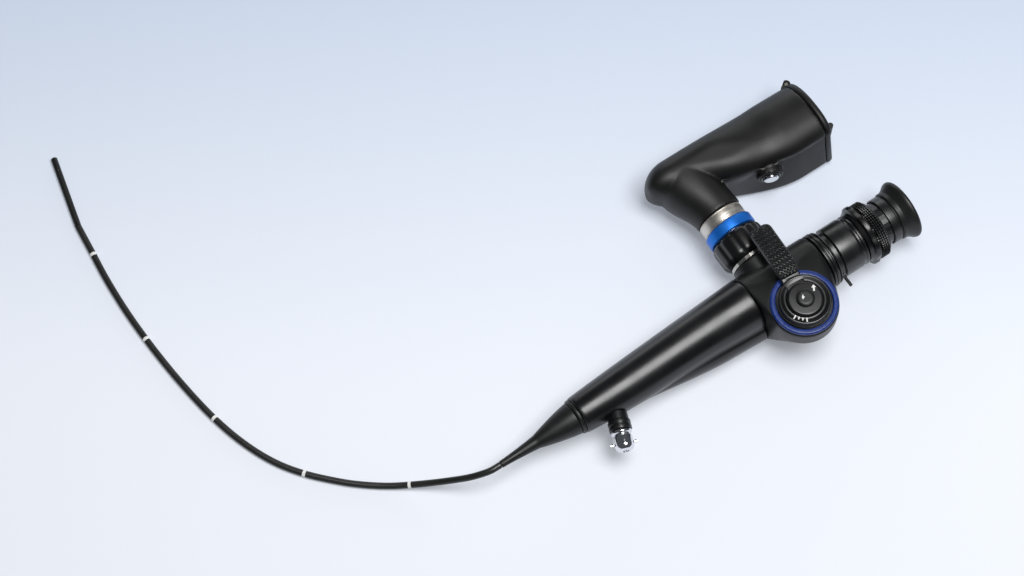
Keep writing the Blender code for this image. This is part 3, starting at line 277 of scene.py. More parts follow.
def start_material(name, **shader_values):
    """A material with one shader whose steady values sit on its own sockets."""
    material = bpy.data.materials.new(name)
    material.use_nodes = True
    tree = material.node_tree
    tree.nodes.clear()
    values = {key.replace("_", " "): value for key, value in shader_values.items()}
    shader = add(tree, "BsdfPrincipled", values)
    add(tree, "OutputMaterial", {"Surface": shader.outputs[0]})
    return material, tree, shader


def cloud_of(tree, shader, place, tones, size_mm, detail):
    """A slow drift of the base colour between two tones; returns the drift for other uses."""
    cloud = add(tree, "TexNoise", {"Vector": place, "Scale": per_metre(size_mm), "Detail": detail}).outputs[0]
    colours = {"Factor": cloud, 6: linear(tones[0]), 7: linear(tones[1])}
    tone = add(tree, "Mix", colours, data_type="RGBA")
    tree.links.new(tone.outputs[2], shader.inputs["Base Color"])
    return cloud


def finish(name, tones, tone_mm, roughness, grain_mm, height_mm, stretch=(1.0, 1.0, 1.0), **shader_values):
    """Tone and gloss that drift over tone_mm, with a fine relief of grain_mm; stretch draws it out."""
    material, tree, shader = start_material(name, **shader_values)
    place = add(tree, "TexCoord").outputs["Object"]
    spread = add(tree, "Mapping", {"Vector": place, "Scale": stretch}).outputs[0]
    cloud = cloud_of(tree, shader, spread, tones, tone_mm, 3.0)
    limits = {"From Min": 0.3, "From Max": 0.7, "To Min": roughness[0], "To Max": roughness[1]}
    gloss = add(tree, "MapRange", {"Value": cloud, **limits})
    tree.links.new(gloss.outputs[0], shader.inputs["Roughness"])
    relief = add(tree, "TexNoise", {"Vector": spread, "Scale": per_metre(grain_mm), "Detail": 2.0})
    bump = add(tree, "Bump", {"Strength": 0.6, "Distance": height_mm * MM, "Height": relief.outputs[0]})
    tree.links.new(bump.outputs[0], shader.inputs["Normal"])
    return material


def extruded_polyurethane():
    """Extruded black polyurethane sheath: smooth and semi-matt, with a faint draw along its skin."""
    return finish("extruded_polyurethane", ("#181917", "#20211E"), 9.0, (0.34, 0.46), 0.7, 0.010, IOR=1.5)


def moulded_silicone_rubber():
    """Moulded black silicone rubber: matt and slightly dusty, with soft, wide highlights."""
    # The mould's own grain is under 0.1 mm; it is drawn at 0.5 mm so that it shows.
    return finish("moulded_silicone_rubber", ("#121312", "#191A19"), 7.0, (0.37, 0.47), 0.5, 0.012, IOR=1.43)


def polished_black_resin():
    """Black resin from a polished mould: deep and glossy, with a trace of orange peel."""
    return finish("polished_black_resin", ("#070708", "#0B0B0C"), 16.0, (0.27, 0.36), 2.2, 0.006, IOR=1.55)


def satin_black_resin():
    """Black resin from a finely blasted mould: satin, so it greys evenly where the light lies on it."""
    # Blasting leaves pits of about 0.05 mm; they are drawn at 0.35 mm so that they show.
    return finish("satin_black_resin", ("#0B0C0C", "#121313"), 12.0, (0.36, 0.46), 0.35, 0.008, IOR=1.47)


def spark_eroded_abs():
    """ABS moulded in a spark-eroded tool: a fine even grain that scatters the light into a soft grey."""
    # The real grain is about 0.1 mm; it is drawn at 0.45 mm so that it shows.
    return finish("spark_eroded_abs", ("#0D0D0C", "#141412"), 14.0, (0.42, 0.52), 0.45, 0.030, IOR=1.46)


def black_anodised_aluminium():
    """Turned aluminium, anodised black: faint turning lines around the axis and a grey satin shine."""
    tones = ("#090A0A", "#101111")
    around_x = (3.0, 0.4, 0.4)
    return finish("black_anodised_aluminium", tones, 10.0, (0.28, 0.38), 0.3, 0.006, around_x, IOR=1.6)


def knurled_aluminium():
    """Diamond-knurled aluminium, anodised black: its sharp points catch small grey glints."""
    return finish("knurled_aluminium", ("#090A0B", "#101112"), 5.0, (0.30, 0.42), 0.4, 0.006, IOR=1.6)


def blue_anodised_aluminium():
    """Turned aluminium, anodised blue: the dye tints the metal's own shine."""
    tones = ("#1567D2", "#2484E4")
    return finish("blue_anodised_aluminium", tones, 6.0, (0.34, 0.44), 0.25, 0.005, Metallic=0.6)


def deep_blue_resin():
    """Blue resin ring from a polished mould: a deep, full blue under a clear gloss."""
    return finish("deep_blue_resin", ("#092566", "#113482"), 5.0, (0.24, 0.32), 1.2, 0.004, IOR=1.5)


def turned_stainless_steel():
    """Stainless steel turned on a lathe: fine bright rings around the axis."""
    tones = ("#C4BAAC", "#EAE8E2")
    around_y = (0.3, 4.0, 0.3)
    return finish("turned_stainless_steel", tones, 4.0, (0.34, 0.50), 0.30, 0.012, around_y, Metallic=1.0)


def plain_stainless_steel():
    """Small stainless pieces with an even, lightly brushed surface."""
    tones = ("#AEACA6", "#CBC9C2")
    return finish("plain_stainless_steel", tones, 4.0, (0.24, 0.36), 0.2, 0.006, Metallic=1.0)


def polished_chrome():
    """Chrome plate over polished brass: a clear mirror with the faintest waviness."""
    return finish("polished_chrome", ("#D8DADD", "#E6E7EA"), 5.0, (0.06, 0.12), 1.5, 0.004, Metallic=1.0)


def pad_printed_white():
    """White pad-printing ink: a thin, slightly chalky film."""
    return finish("pad_printed_white", ("#DFDFDA", "#EFEFEA"), 1.5, (0.45, 0.6), 0.2, 0.004, IOR=1.5)


def cell_shrink_sleeve():
    """The plastic sleeve shrunk round a battery cell: smooth, in two plain greys."""
    return finish("cell_shrink_sleeve", ("#4E5357", "#5F656A"), 20.0, (0.24, 0.32), 2.0, 0.004, IOR=1.5)


def coated_lens_glass():
    """Optical glass with an anti-reflection coat that leaves a faint cool tint."""
    clear = {"IOR": 1.52, "Transmission_Weight": 1.0, "Roughness": 0.02}
    material, tree, shader = start_material("coated_lens_glass", **clear)
    place = add(tree, "TexCoord").outputs["Object"]
    cloud_of(tree, shader, place, ("#DDEBEE", "#E9F0F7"), 8.0, 2.0)
    return material


sheath = extruded_polyurethane()
rubber = moulded_silicone_rubber()
gloss_black = polished_black_resin()
satin_black = satin_black_resin()
grained_black = spark_eroded_abs()
anodised_black = black_anodised_aluminium()
knurled_black = knurled_aluminium()
anodised_blue = blue_anodised_aluminium()
blue_resin = deep_blue_resin()
turned_steel = turned_stainless_steel()
plain_steel = plain_stainless_steel()
chrome = polished_chrome()
white_ink = pad_printed_white()
glass = coated_lens_glass()
sleeve_wrap = cell_shrink_sleeve()


# Insertion tube: the cord

TUBE_R = 1.6 * MM
TUBE_REST_Z = 1.7 * MM
BOOT_START = -157.3 * MM
GAP = 0.3 * MM
BEND_BASE = Vector((-0.2560, 0.2386, TUBE_REST_Z))
BEND_TURN = math.radians(77.5)
LINK_PITCH = 4.9 * MM
LINK_COUNT = 6
COLLAR_LENGTH = 4.5 * MM
TIP_LENGTH = 9.0 * MM
DEPTH_MARKS_MM = (55.0, 106.0, 158.0, 209.0, 259.0)
MARK_WIDTH = 1.5 * MM
PRINT_THICKNESS = 0.03 * MM
COVER_SINK = 0.02 * MM
COVER_PAST_JOINT = 1.2 * MM
LENS_R = 0.42 * MM
LENS_OFFSET = 0.35 * MM
FIBRE_R = 0.22 * MM
FIBRE_OFFSET = 0.6 * MM
INSERT_DEPTH = 0.2 * MM


def tube_route():
    """Listed points from the boot, down to the table and along its wide curve to the bending section."""
    boot_end = Vector((BOOT_START - GAP, GRIP_Y, GRIP_Z))
    along = Vector((math.cos(BEND_TURN), math.sin(BEND_TURN), 0.0))
    last = BEND_BASE - along * (COLLAR_LENGTH + GAP)
    low = TUBE_REST_Z
    return [
        boot_end,
        boot_end + Vector((-0.0060, 0.0004, -0.0003)),
        Vector((-0.1715, 0.0206, 0.0155)),
        Vector((-0.1795, 0.0258, 0.0105)),
        Vector((-0.1880, 0.0315, 0.0062)),
        Vector((-0.1960, 0.0368, 0.0034)),
        Vector((-0.2036, 0.0418, 0.0021)),
        Vector((-0.2125, 0.0485, low)),
        Vector((-0.2212, 0.0562, low)),
        Vector((-0.2333, 0.0692, low)),
        Vector((-0.2422, 0.0825, low)),
        Vector((-0.2490, 0.0985, low)),
        Vector((-0.2538, 0.1165, low)),
        Vector((-0.2572, 0.1380, low)),
        Vector((-0.2593, 0.1600, low)),
        Vector((-0.2602, 0.1815, low)),
        Vector((-0.2597, 0.2025, low)),
        Vector((-0.2582, 0.2200, low)),
        last,
    ]


def smooth_points(route, steps=12):
    """A smooth curve through every point of the route."""
    dense = []
    for i in range(len(route) - 1):
        p0 = route[i - 1] if i else route[0] * 2.0 - route[1]
        p1 = route[i]
        p2 = route[i + 1]
        p3 = route[i + 2] if i + 2 < len(route) else p2 * 2.0 - p1
        for k in range(steps):
            t = k / steps
            square = (2.0 * p0 - 5.0 * p1 + 4.0 * p2 - p3) * t * t
            cube = (3.0 * p1 - p0 - 3.0 * p2 + p3) * t * t * t
            dense.append(0.5 * (2.0 * p1 + (p2 - p0) * t + square + cube))
    dense.append(route[-1])
    return dense


def path_length(points):
    return sum((b - a).length for a, b in zip(points, points[1:]))


def stretch_of(points, start, end):
    """The part of a path between two lengths measured from its first point."""
    part = []
    travelled = 0.0
    for a, b in zip(points, points[1:]):
        span = (b - a).length
        for target in (start, end):
            if travelled <= target < travelled + span:
                part.append(a.lerp(b, (target - travelled) / span))
        if start < travelled + span < end:
            part.append(b)
        travelled += span
    return part


def sleeve_on(name, points, radius, material, sides=32):
    """A closed round sleeve that follows points."""
    rings = []
    for i, point in enumerate(points):
        ahead = points[min(i + 1, len(points) - 1)]
        back = points[max(i - 1, 0)]
        forward = (ahead - back).normalized()
        side = forward.cross(Vector((0.0, 0.0, 1.0))).normalized()
        lift = side.cross(forward)
        ring = []
        for k in range(sides):
            angle = 2.0 * math.pi * k / sides
            ring.append(point + radius * (side * math.cos(angle) + lift * math.sin(angle)))
        rings.append(ring)
    return skinned(name, rings, material, 60.0)


def bend_place(along):
    place = Matrix.Translation(BEND_BASE) @ Matrix.Rotation(BEND_TURN, 4, "Z")
    return place @ Matrix.Translation((along, 0.0, 0.0))


def along_bend(along):
    """Local +Z runs along the bending section towards the tip."""
    return bend_place(along) @ Matrix.Rotation(math.radians(90.0), 4, "Y")


def insertion_tube(points):
    """The free tube as one curve."""
    curve = bpy.data.curves.new("insertion_sheath", "CURVE")
    curve.dimensions = "3D"
    curve.bevel_depth = TUBE_R
    curve.bevel_resolution = 6
    curve.use_fill_caps = True
    line = curve.splines.new("POLY")
    line.points.add(len(points) - 1)
    for slot, point in zip(line.points, points):
        slot.co = (*point, 1.0)
    line.use_smooth = True
    piece = bpy.data.objects.new("insertion_sheath", curve)
    bpy.context.scene.collection.objects.link(piece)
    curve.materials.append(sheath)
    return stands_for(piece, "insertion_tube")


def depth_marks(points):
    """The printed rings that tell how deep the tube is in."""
    total = path_length(points)
    beyond = COLLAR_LENGTH + GAP + LINK_PITCH * (LINK_COUNT - 1) + TIP_LENGTH
    marks = []
    for number, depth in enumerate(DEPTH_MARKS_MM, start=1):
        middle = total + beyond - depth * MM
        part = stretch_of(points, middle - MARK_WIDTH / 2.0, middle + MARK_WIDTH / 2.0)
        mark = sleeve_on(f"depth_mark_{number}", part, TUBE_R + PRINT_THICKNESS, white_ink)
        marks.append(trim(mark, "insertion_tube"))
    return marks


def bending_cover():
    """Thin rubber over the bending links, in spans that each run across one joint."""
    middle = LINK_PITCH / 2.0
    covers = []
    steps = 12
    for k in range(LINK_COUNT):
        joint = k * LINK_PITCH
        start = joint - middle
        end = joint + (COVER_PAST_JOINT if k == LINK_COUNT - 1 else middle)
        outline = [(0.0, 0.0)]
        for j in range(steps + 1):
            outline.append(((end - start) * j / steps, TUBE_R - COVER_SINK))
        outline.append((end - start, 0.0))
        place = along_bend(start)
        cover = turned(f"bending_cover_{k + 1}", outline, place, rubber, 32, fillet=0.0, sharp=60.0)
        node = f"bending_link_{min(k + 1, LINK_COUNT - 1)}"
        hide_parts(node)
        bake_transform(cover)
        covers.append(cover)
    return covers


def distal_tip():
    """The rigid tip with its front glass and the two polished ends of the light fibres."""
    base = (LINK_COUNT - 1) * LINK_PITCH + COVER_PAST_JOINT
    end = (LINK_COUNT - 1) * LINK_PITCH + TIP_LENGTH
    length = end - base
    outline = [
        (0.0, 0.0),
        (0.0, TUBE_R - 0.25 * MM),
        (0.35 * MM, TUBE_R - 0.25 * MM),
        (0.45 * MM, TUBE_R),
        (length - 0.5 * MM, TUBE_R),
        (length, TUBE_R - 0.5 * MM),
        (length, 0.0),
    ]
    body = turned("distal_head", outline, along_bend(base), anodised_black, 48, fillet=0.12 * MM)
    pieces = [stands_for(body, "distal_tip")]
    lens_place = along_bend(end) @ Matrix.Translation((LENS_OFFSET, 0.0, 0.0))
    dome = [(-INSERT_DEPTH, 0.0), (-INSERT_DEPTH, LENS_R), (-0.02 * MM, LENS_R), (0.0, 0.0)]
    lens = turned("distal_lens", dome, lens_place, glass, 24, fillet=0.0)
    pieces.append(trim(lens, "distal_tip"))
    face = [(-INSERT_DEPTH, 0.0), (-INSERT_DEPTH, FIBRE_R), (-0.01 * MM, FIBRE_R), (-0.01 * MM, 0.0)]
    for number, side in enumerate((-1.0, 1.0), start=1):
        place = along_bend(end) @ Matrix.Translation((-LENS_OFFSET, side * FIBRE_OFFSET, 0.0))
        guide = turned(f"fibre_end_{number}", face, place, white_ink, 16, fillet=0.0)
        pieces.append(trim(guide, "distal_tip"))
    return pieces


route = smooth_points(tube_route())
tube = insertion_tube(route)
on_tube = depth_marks(route) + bending_cover() + distal_tip()
frame["nodes"]["bending_collar"].data.materials.clear()
frame["nodes"]["bending_collar"].data.materials.append(anodised_black)


# Boot and grip

BOOT_END = -117.2 * MM
BOOT_WAIST_R = 3.3 * MM
BOOT_REAR_R = 8.0 * MM
BOOT_WAIST = 19.5 * MM
BOOT_RING_WIDTH = 1.8 * MM
BOOT_RING_R = 8.8 * MM
BOOT_TIP_WALL = 0.15 * MM
BOOT_TIP_CURVE = 1.4
BOOT_BELL_CURVE = 1.35
GRIP_START = BOOT_END + BOOT_RING_WIDTH + 2.0 * GAP
GRIP_END = -17.5 * MM
GRIP_FRONT_R = 9.1 * MM
GRIP_REAR_R = 14.7 * MM
GRIP_TAPER = 0.85
LOBE_START = -98.0 * MM
LOBE_START_HALF = (2.4 * MM, 3.0 * MM)
LOBE_START_INSET = 1.2 * MM
LOBE_START_DROP = 2.0 * MM
LOBE_HALF = (7.2 * MM, 8.0 * MM)
LOBE_INSET = -1.1 * MM
LOBE_Z = 12.0 * MM
LOBE_BLEND = 0.5 * MM
BARREL_SHRINK = 1.1 * MM
BARREL_SHIFT = (0.95, 0.30)
HEAD_BOTTOM = 4.0 * MM


def strain_boot():
    """The tapered rubber boot that keeps the tube from kinking where it enters the grip."""
    length = BOOT_END - BOOT_START
    tip = TUBE_R + BOOT_TIP_WALL
    outline = [(0.0, 0.0), (0.0, tip)]
    for k in range(1, 17):
        t = k / 16.0
        outline.append((BOOT_WAIST * t, lerp(tip, BOOT_WAIST_R, t**BOOT_TIP_CURVE)))
    for k in range(1, 33):
        t = k / 32.0
        radius = lerp(BOOT_WAIST_R, BOOT_REAR_R, 0.25 * t + 0.75 * (1.0 - (1.0 - t) ** BOOT_BELL_CURVE))
        outline.append((lerp(BOOT_WAIST, length, t), radius))
    outline.append((length, 0.0))
    stands_for(turned("strain_boot", outline, along_x(BOOT_START), rubber, 72), "boot")
    outline = [
        (0.0, 0.0),
        (0.0, BOOT_RING_R - 0.6 * MM),
        (0.7 * MM, BOOT_RING_R - 0.1 * MM),
        (BOOT_RING_WIDTH, BOOT_RING_R),
        (BOOT_RING_WIDTH, 0.0),
    ]
    stands_for(turned("boot_clamp_ring", outline, along_x(BOOT_END + GAP), rubber, 72), "boot_ring")


def grip_radius(x):
    """The barrel's radius, which swells quickly near the boot and slowly towards the head."""
    t = (x - GRIP_START) / (GRIP_END - GRIP_START)
    return lerp(GRIP_FRONT_R, GRIP_REAR_R, max(0.0, t) ** GRIP_TAPER)


def reach_to(centre, half_y, half_z, angle):
    """How far an ellipse reaches from the grip's axis at an angle; zero where the ray misses it."""
    c = math.cos(angle) / half_y
    d = math.sin(angle) / half_z
    p = (centre[0] - GRIP_Y) / half_y
    q = (centre[1] - GRIP_Z) / half_z
    a = c * c + d * d
    b = c * p + d * q
    inside = b * b - a * (p * p + q * q - 1.0)
    if inside < 0.0:
        return 0.0
    return max(0.0, (b + math.sqrt(inside)) / a)


def grip_ring(x, sides=144, shrink=0.0):
    """The round barrel of the grip and, beside it on the palm side, the slim channel tube."""
    main = grip_radius(x)
    share = ease((x - LOBE_START) / (0.75 * (GRIP_END - LOBE_START)))
    less = BARREL_SHRINK * share
    barrel = (GRIP_Y + BARREL_SHIFT[0] * less, GRIP_Z + BARREL_SHIFT[1] * less)
    wide = lerp(LOBE_START_HALF[0], LOBE_HALF[0], share)
    tall = lerp(LOBE_START_HALF[1], LOBE_HALF[1], share)
    side = GRIP_Y - main + lerp(LOBE_START_INSET, LOBE_INSET, share)
    tube = (side + wide, lerp(GRIP_Z - LOBE_START_DROP, LOBE_Z, share))
    ring = []
    for k in range(sides):
        angle = 2.0 * math.pi * k / sides
        a = reach_to(barrel, main - less, main - less, angle)
        b = reach_to(tube, wide, tall, angle)
        radius = 0.5 * (a + b + math.sqrt((a - b) ** 2 + LOBE_BLEND**2 * 0.25)) - shrink
        z = max(HEAD_BOTTOM, GRIP_Z + radius * math.sin(angle))
        ring.append(Vector((x, GRIP_Y + radius * math.cos(angle), z)))
    return ring


def hand_grip():
    """The long tapered grip, with rolled edges at both ends."""
    roll = 0.5 * MM
    rings = [grip_ring(GRIP_START, shrink=roll), grip_ring(GRIP_START + 0.3 * roll, shrink=0.3 * roll)]
    count = 72
    for k in range(count + 1):
        rings.append(grip_ring(lerp(GRIP_START + roll, GRIP_END - roll, k / count)))
    rings += [grip_ring(GRIP_END - 0.3 * roll, shrink=0.2 * roll), grip_ring(GRIP_END, shrink=0.6 * roll)]
    stands_for(skinned("hand_grip", rings, gloss_black, 60.0), "grip")


strain_boot()
hand_grip()


# Vent connector

VENT_X = -100.0 * MM
VENT_SLANT = math.radians(21.0)
VENT_COLLAR_R = 5.4 * MM
VENT_COLLAR_LENGTH = 5.2 * MM
VENT_BODY_R = 4.6 * MM
VENT_BODY_LENGTH = 9.8 * MM
VENT_BORE_R = 1.5 * MM
VENT_SEAT = 3.5 * MM


def vent_place():
    """Local +Z points out of the palm side, slanted towards the tip of the tube."""
    out = Vector((-math.sin(VENT_SLANT), -math.cos(VENT_SLANT), 0.0))
    side = grip_radius(VENT_X) + GAP
    surface = Vector((VENT_X, GRIP_Y - side / math.cos(VENT_SLANT), GRIP_Z))
    turn = Vector((0.0, 0.0, 1.0)).rotation_difference(out).to_matrix().to_4x4()
    return Matrix.Translation(surface) @ turn


def vent_fitting():
    """The leak-test fitting: a black collar and a bright round-nosed socket with a bore."""
    foot = VENT_COLLAR_R * math.tan(VENT_SLANT) * 0.55
    outline = [
        (foot - VENT_SEAT, 0.0),
        (foot - VENT_SEAT, VENT_COLLAR_R - 0.5 * MM),
        (foot + 0.4 * MM, VENT_COLLAR_R - 0.5 * MM),
        (foot + 0.8 * MM, VENT_COLLAR_R),
        (foot + 2.6 * MM, VENT_COLLAR_R),
        (foot + 2.8 * MM, VENT_COLLAR_R - 0.3 * MM),
        (foot + 3.1 * MM, VENT_COLLAR_R - 0.3 * MM),
        (foot + 3.3 * MM, VENT_COLLAR_R),
        (foot + VENT_COLLAR_LENGTH, VENT_COLLAR_R),
        (foot + VENT_COLLAR_LENGTH, 0.0),
    ]
    stands_for(turned("vent_base_collar", outline, vent_place(), anodised_black, 72), "vent_collar")
    start = foot + VENT_COLLAR_LENGTH + GAP
    end = start + VENT_BODY_LENGTH
    outline = [
        (start, 0.0),
        (start, VENT_BODY_R + 0.3 * MM),
        (start + 1.2 * MM, VENT_BODY_R + 0.3 * MM),
        (start + 1.7 * MM, VENT_BODY_R - 0.4 * MM),
        (start + 2.4 * MM, VENT_BODY_R - 0.4 * MM),
        (start + 2.8 * MM, VENT_BODY_R),
        (end - 2.6 * MM, VENT_BODY_R),
        (end - 1.5 * MM, VENT_BODY_R - 0.35 * MM),
        (end - 0.6 * MM, VENT_BODY_R - 1.1 * MM),
        (end, VENT_BODY_R - 2.3 * MM),
        (end, VENT_BORE_R),
        (end - 6.0 * MM, VENT_BORE_R),
        (end - 6.0 * MM, 0.0),
    ]
    stands_for(turned("vent_socket", outline, vent_place(), chrome, 72), "vent_connector")


vent_fitting()


# Head, ring, lever

HEAD_FRONT = GRIP_END + GAP
HEAD_TOP = 35.0 * MM
HEAD_REAR = 22.0 * MM
HEAD_REAR_R = 14.2 * MM
RING_OUTER_R = 16.0 * MM
RING_INNER_R = 13.4 * MM
RING_HEIGHT = 1.6 * MM
BOSS_R = 16.6 * MM
BOSS_WAIST_Z = 26.0 * MM
POCKET_FLOOR = 18.5 * MM
POCKET_R = 11.2 * MM
BOWL_R = POCKET_R + 1.7 * MM
BOWL_DROP = 1.5 * MM
BASE_FRONT_R = 7.0 * MM
BASE_REAR_R = 10.8 * MM
BASE_REAR = (3.0 * MM, 14.0 * MM)
NECK_R = 11.3 * MM
NECK_START = 18.0 * MM
NECK_END = 34.0 * MM
PLATE_TOP = HEAD_TOP + GAP + 2.0 * MM
DISC_BOTTOM = PLATE_TOP + 2.0 * GAP
DISC_R = 12.4 * MM
DISC_TOP = DISC_BOTTOM + 3.4 * MM
BOSS_TOP_R = 8.4 * MM
LEVER_TURN = math.radians(86.0)
ARM_WIDTH = 9.6 * MM
ARM_THICKNESS = 3.0 * MM
ARM_REACH = 42.0 * MM
ARM_DROP = 2.2 * MM
PAD_WIDTH = 11.2 * MM
PAD_START = 13.1 * MM
PAD_THICKNESS = 2.2 * MM
# The real knurl is about 1 mm; it is cut coarser so that it shows.
KNURL_PITCH = 1.75 * MM
KNURL_DEPTH = 0.55 * MM
ARROW_HEADING = math.radians(62.0)
UP_ARROW_AT = (6.3 * MM, 2.2 * MM)
DOWN_ARROW_AT = (-1.0 * MM, 1.1 * MM)
TICK_COUNT = 4
TICK_START = math.radians(206.0)
TICK_STEP = math.radians(11.0)
TICK_HALF = 0.3 * MM
HEAD_GRAIN = 0.45 * MM
SOURCE_GRAIN = 0.6 * MM
MELT_ROUNDS = 5


def ring_of_points(place, radius, count=96):
    points = []
    for k in range(count):
        angle = 2.0 * math.pi * k / count
        points.append(place @ Vector((radius * math.cos(angle), radius * math.sin(angle), 0.0)))
    return points


def foot_points(z, grow):
    rear = upright(z, *BASE_REAR)
    return ring_of_points(upright(z), BASE_FRONT_R + grow, 72) + ring_of_points(rear, BASE_REAR_R + grow, 72)


def melted(piece, grain):
    """Turn a joined solid into an even skin and relax it, so that its parts flow into each other."""
    skin = piece.modifiers.new("even_skin", "REMESH")
    skin.mode = "VOXEL"
    skin.voxel_size = grain
    relax = piece.modifiers.new("relax", "SMOOTH")
    relax.factor = 0.5
    relax.iterations = MELT_ROUNDS
    apply_modifiers(piece)
    piece.data.shade_smooth()
    return piece


def head_body():
    """The head: a skin stretched from the grip and the eyepiece seat over the round lever boss."""
    points = [Vector((HEAD_FRONT, p.y, p.z)) for p in grip_ring(GRIP_END - 1.0 * MM, 96)]
    points += ring_of_points(along_x(HEAD_REAR - 1.0 * MM), HEAD_REAR_R)
    points += ring_of_points(along_x(HEAD_REAR), HEAD_REAR_R - 0.8 * MM)
    points += foot_points(HEAD_BOTTOM, -0.4 * MM)
    points += foot_points(HEAD_BOTTOM + 2.2 * MM, 1.0 * MM)
    points += ring_of_points(upright(POCKET_FLOOR - BOWL_DROP), BOWL_R)
    points += ring_of_points(upright(BOSS_WAIST_Z), BOSS_R)
    points += ring_of_points(upright(HEAD_TOP - 1.0 * MM), BOSS_R)
    points += ring_of_points(upright(HEAD_TOP), BOSS_R - 0.4 * MM)
    shape = bmesh.new()
    for point in points:
        shape.verts.new(point)
    hull = bmesh.ops.convex_hull(shape, input=shape.verts[:])
    inner = {v for v in hull["geom_interior"] + hull["geom_unused"] if isinstance(v, bmesh.types.BMVert)}
    bmesh.ops.delete(shape, geom=list(inner), context="VERTS")
    head = piece_from("head_body", shape, satin_black)
    outline = [(NECK_START, 0.0), (NECK_START, NECK_R), (NECK_END, NECK_R), (NECK_END, 0.0)]
    carve(head, turned("neck_form", outline, along_y(0.0), satin_black, 96), "UNION")
    melted(head, HEAD_GRAIN)
    above = HEAD_TOP + MM
    outline = [(POCKET_FLOOR, 0.0), (POCKET_FLOOR, POCKET_R), (above, POCKET_R), (above, 0.0)]
    carve(head, turned("pocket_form", outline, upright(0.0), satin_black, 96, fillet=0.0))
    stands_for(head, "head_housing")


def blue_ring():
    """The coloured ring that lies on the head around the side plate."""
    outline = [
        (GAP, RING_INNER_R),
        (GAP, RING_OUTER_R),
        (GAP + RING_HEIGHT - 0.5 * MM, RING_OUTER_R),
        (GAP + RING_HEIGHT, RING_OUTER_R - 0.6 * MM),
        (GAP + RING_HEIGHT, RING_INNER_R + 0.4 * MM),
        (GAP + RING_HEIGHT - 0.4 * MM, RING_INNER_R),
    ]
    place = upright(HEAD_TOP)
    stands_for(turned("blue_ring", outline, place, blue_resin, 144, True, 0.2 * MM), "accent_ring")


def arm_height(reach):
    t = ease((reach - RING_OUTER_R) / (ARM_REACH - RING_OUTER_R))
    return HEAD_TOP + GAP + RING_HEIGHT + 0.6 * MM - ARM_DROP * t


def lever_place():
    return Matrix.Rotation(LEVER_TURN, 4, "Z")


def soft_band(x, half, low, high, roll, steps=5):
    """A cross-section of the arm with four rolled corners."""
    ring = []
    corners = (
        (half - roll, low + roll, -90.0),
        (half - roll, high - roll, 0.0),
        (-half + roll, high - roll, 90.0),
        (-half + roll, low + roll, 180.0),
    )
    for y, z, first in corners:
        for k in range(steps + 1):
            angle = math.radians(first + 90.0 * k / steps)
            ring.append(Vector((x, y + roll * math.cos(angle), z + roll * math.sin(angle))))
    return ring


def lever_wheel():
    """The lever's disc: a rim, a shallow dish and a raised boss, in one piece with the arm."""
    outline = [
        (DISC_BOTTOM, 0.0),
        (DISC_BOTTOM, DISC_R),
        (DISC_TOP - 1.1 * MM, DISC_R),
        (DISC_TOP - 0.8 * MM, DISC_R - 0.8 * MM),
        (DISC_TOP - 1.7 * MM, BOSS_TOP_R + 1.4 * MM),
        (DISC_TOP - 1.6 * MM, BOSS_TOP_R + 0.3 * MM),
        (DISC_TOP - 0.5 * MM, BOSS_TOP_R),
        (DISC_TOP, BOSS_TOP_R - 0.7 * MM),
        (DISC_TOP, 0.0),
    ]
    wheel = turned("lever_wheel", outline, upright(0.0), gloss_black, 144, fillet=0.35 * MM)
    rings = []
    count = 40
    start = 6.0 * MM
    for k in range(count + 1):
        x = lerp(start, ARM_REACH, k / count)
        low = arm_height(x)
        tail = max(0.0, (x - (ARM_REACH - 3.0 * MM)) / (3.0 * MM))
        half = ARM_WIDTH / 2.0 * (1.0 - 0.18 * tail**2.4)
        top = min(low + ARM_THICKNESS, DISC_TOP - 1.3 * MM) if x < DISC_R else low + ARM_THICKNESS
        rings.append([lever_place() @ p for p in soft_band(x, half, low, top, 0.7 * MM)])
    arm = skinned("arm_form", rings, gloss_black)
    carve(wheel, arm, "UNION")
    edges_over(wheel, 32.0)
    stands_for(wheel, "lever_disc")


def knurl(u, v):
    """Height of a diamond knurl: rows of small four-sided points."""
    a = abs(((u + v) / KNURL_PITCH) % 1.0 - 0.5) * 2.0
    b = abs(((u - v) / KNURL_PITCH) % 1.0 - 0.5) * 2.0
    return KNURL_DEPTH * (min(a, b) ** 0.8 - 0.5)


def thumb_pad():
    """The knurled thumb pad on the arm, with a slight crown and rounded ends."""
    end = ARM_REACH - 0.6 * MM
    count = 150
    across = 64
    rings = []
    for k in range(count + 1):
        x = lerp(PAD_START, end, k / count)
        low = arm_height(x) + ARM_THICKNESS + GAP
        near_end = min(k, count - k) / (0.11 * count)
        rounding = math.sqrt(max(0.0, 1.0 - (1.0 - min(1.0, near_end)) ** 2))
        half = PAD_WIDTH / 2.0 * lerp(0.62, 1.0, rounding)
        crown = (PAD_THICKNESS + 0.9 * MM * math.sin(math.pi * k / count)) * lerp(0.45, 1.0, rounding)
        ring = [Vector((x, half - 0.3 * MM, low)), Vector((x, -half + 0.3 * MM, low))]
        for j in range(across + 1):
            t = j / across
            y = lerp(-half, half, t)
            side = min(t, 1.0 - t) / 0.10
            shoulder = math.sqrt(max(0.0, 1.0 - (1.0 - min(1.0, side)) ** 2))
            rise = crown * lerp(0.35, 1.0, shoulder) - 0.25 * MM * (2.0 * t - 1.0) ** 2
            texture = knurl(x, y) * min(1.0, side * 1.6) * rounding
            ring.append(Vector((x, y, low + rise + texture)))
        rings.append([lever_place() @ p for p in ring])
    stands_for(skinned("thumb_pad", rings, knurled_black, 18.0), "lever_pad")


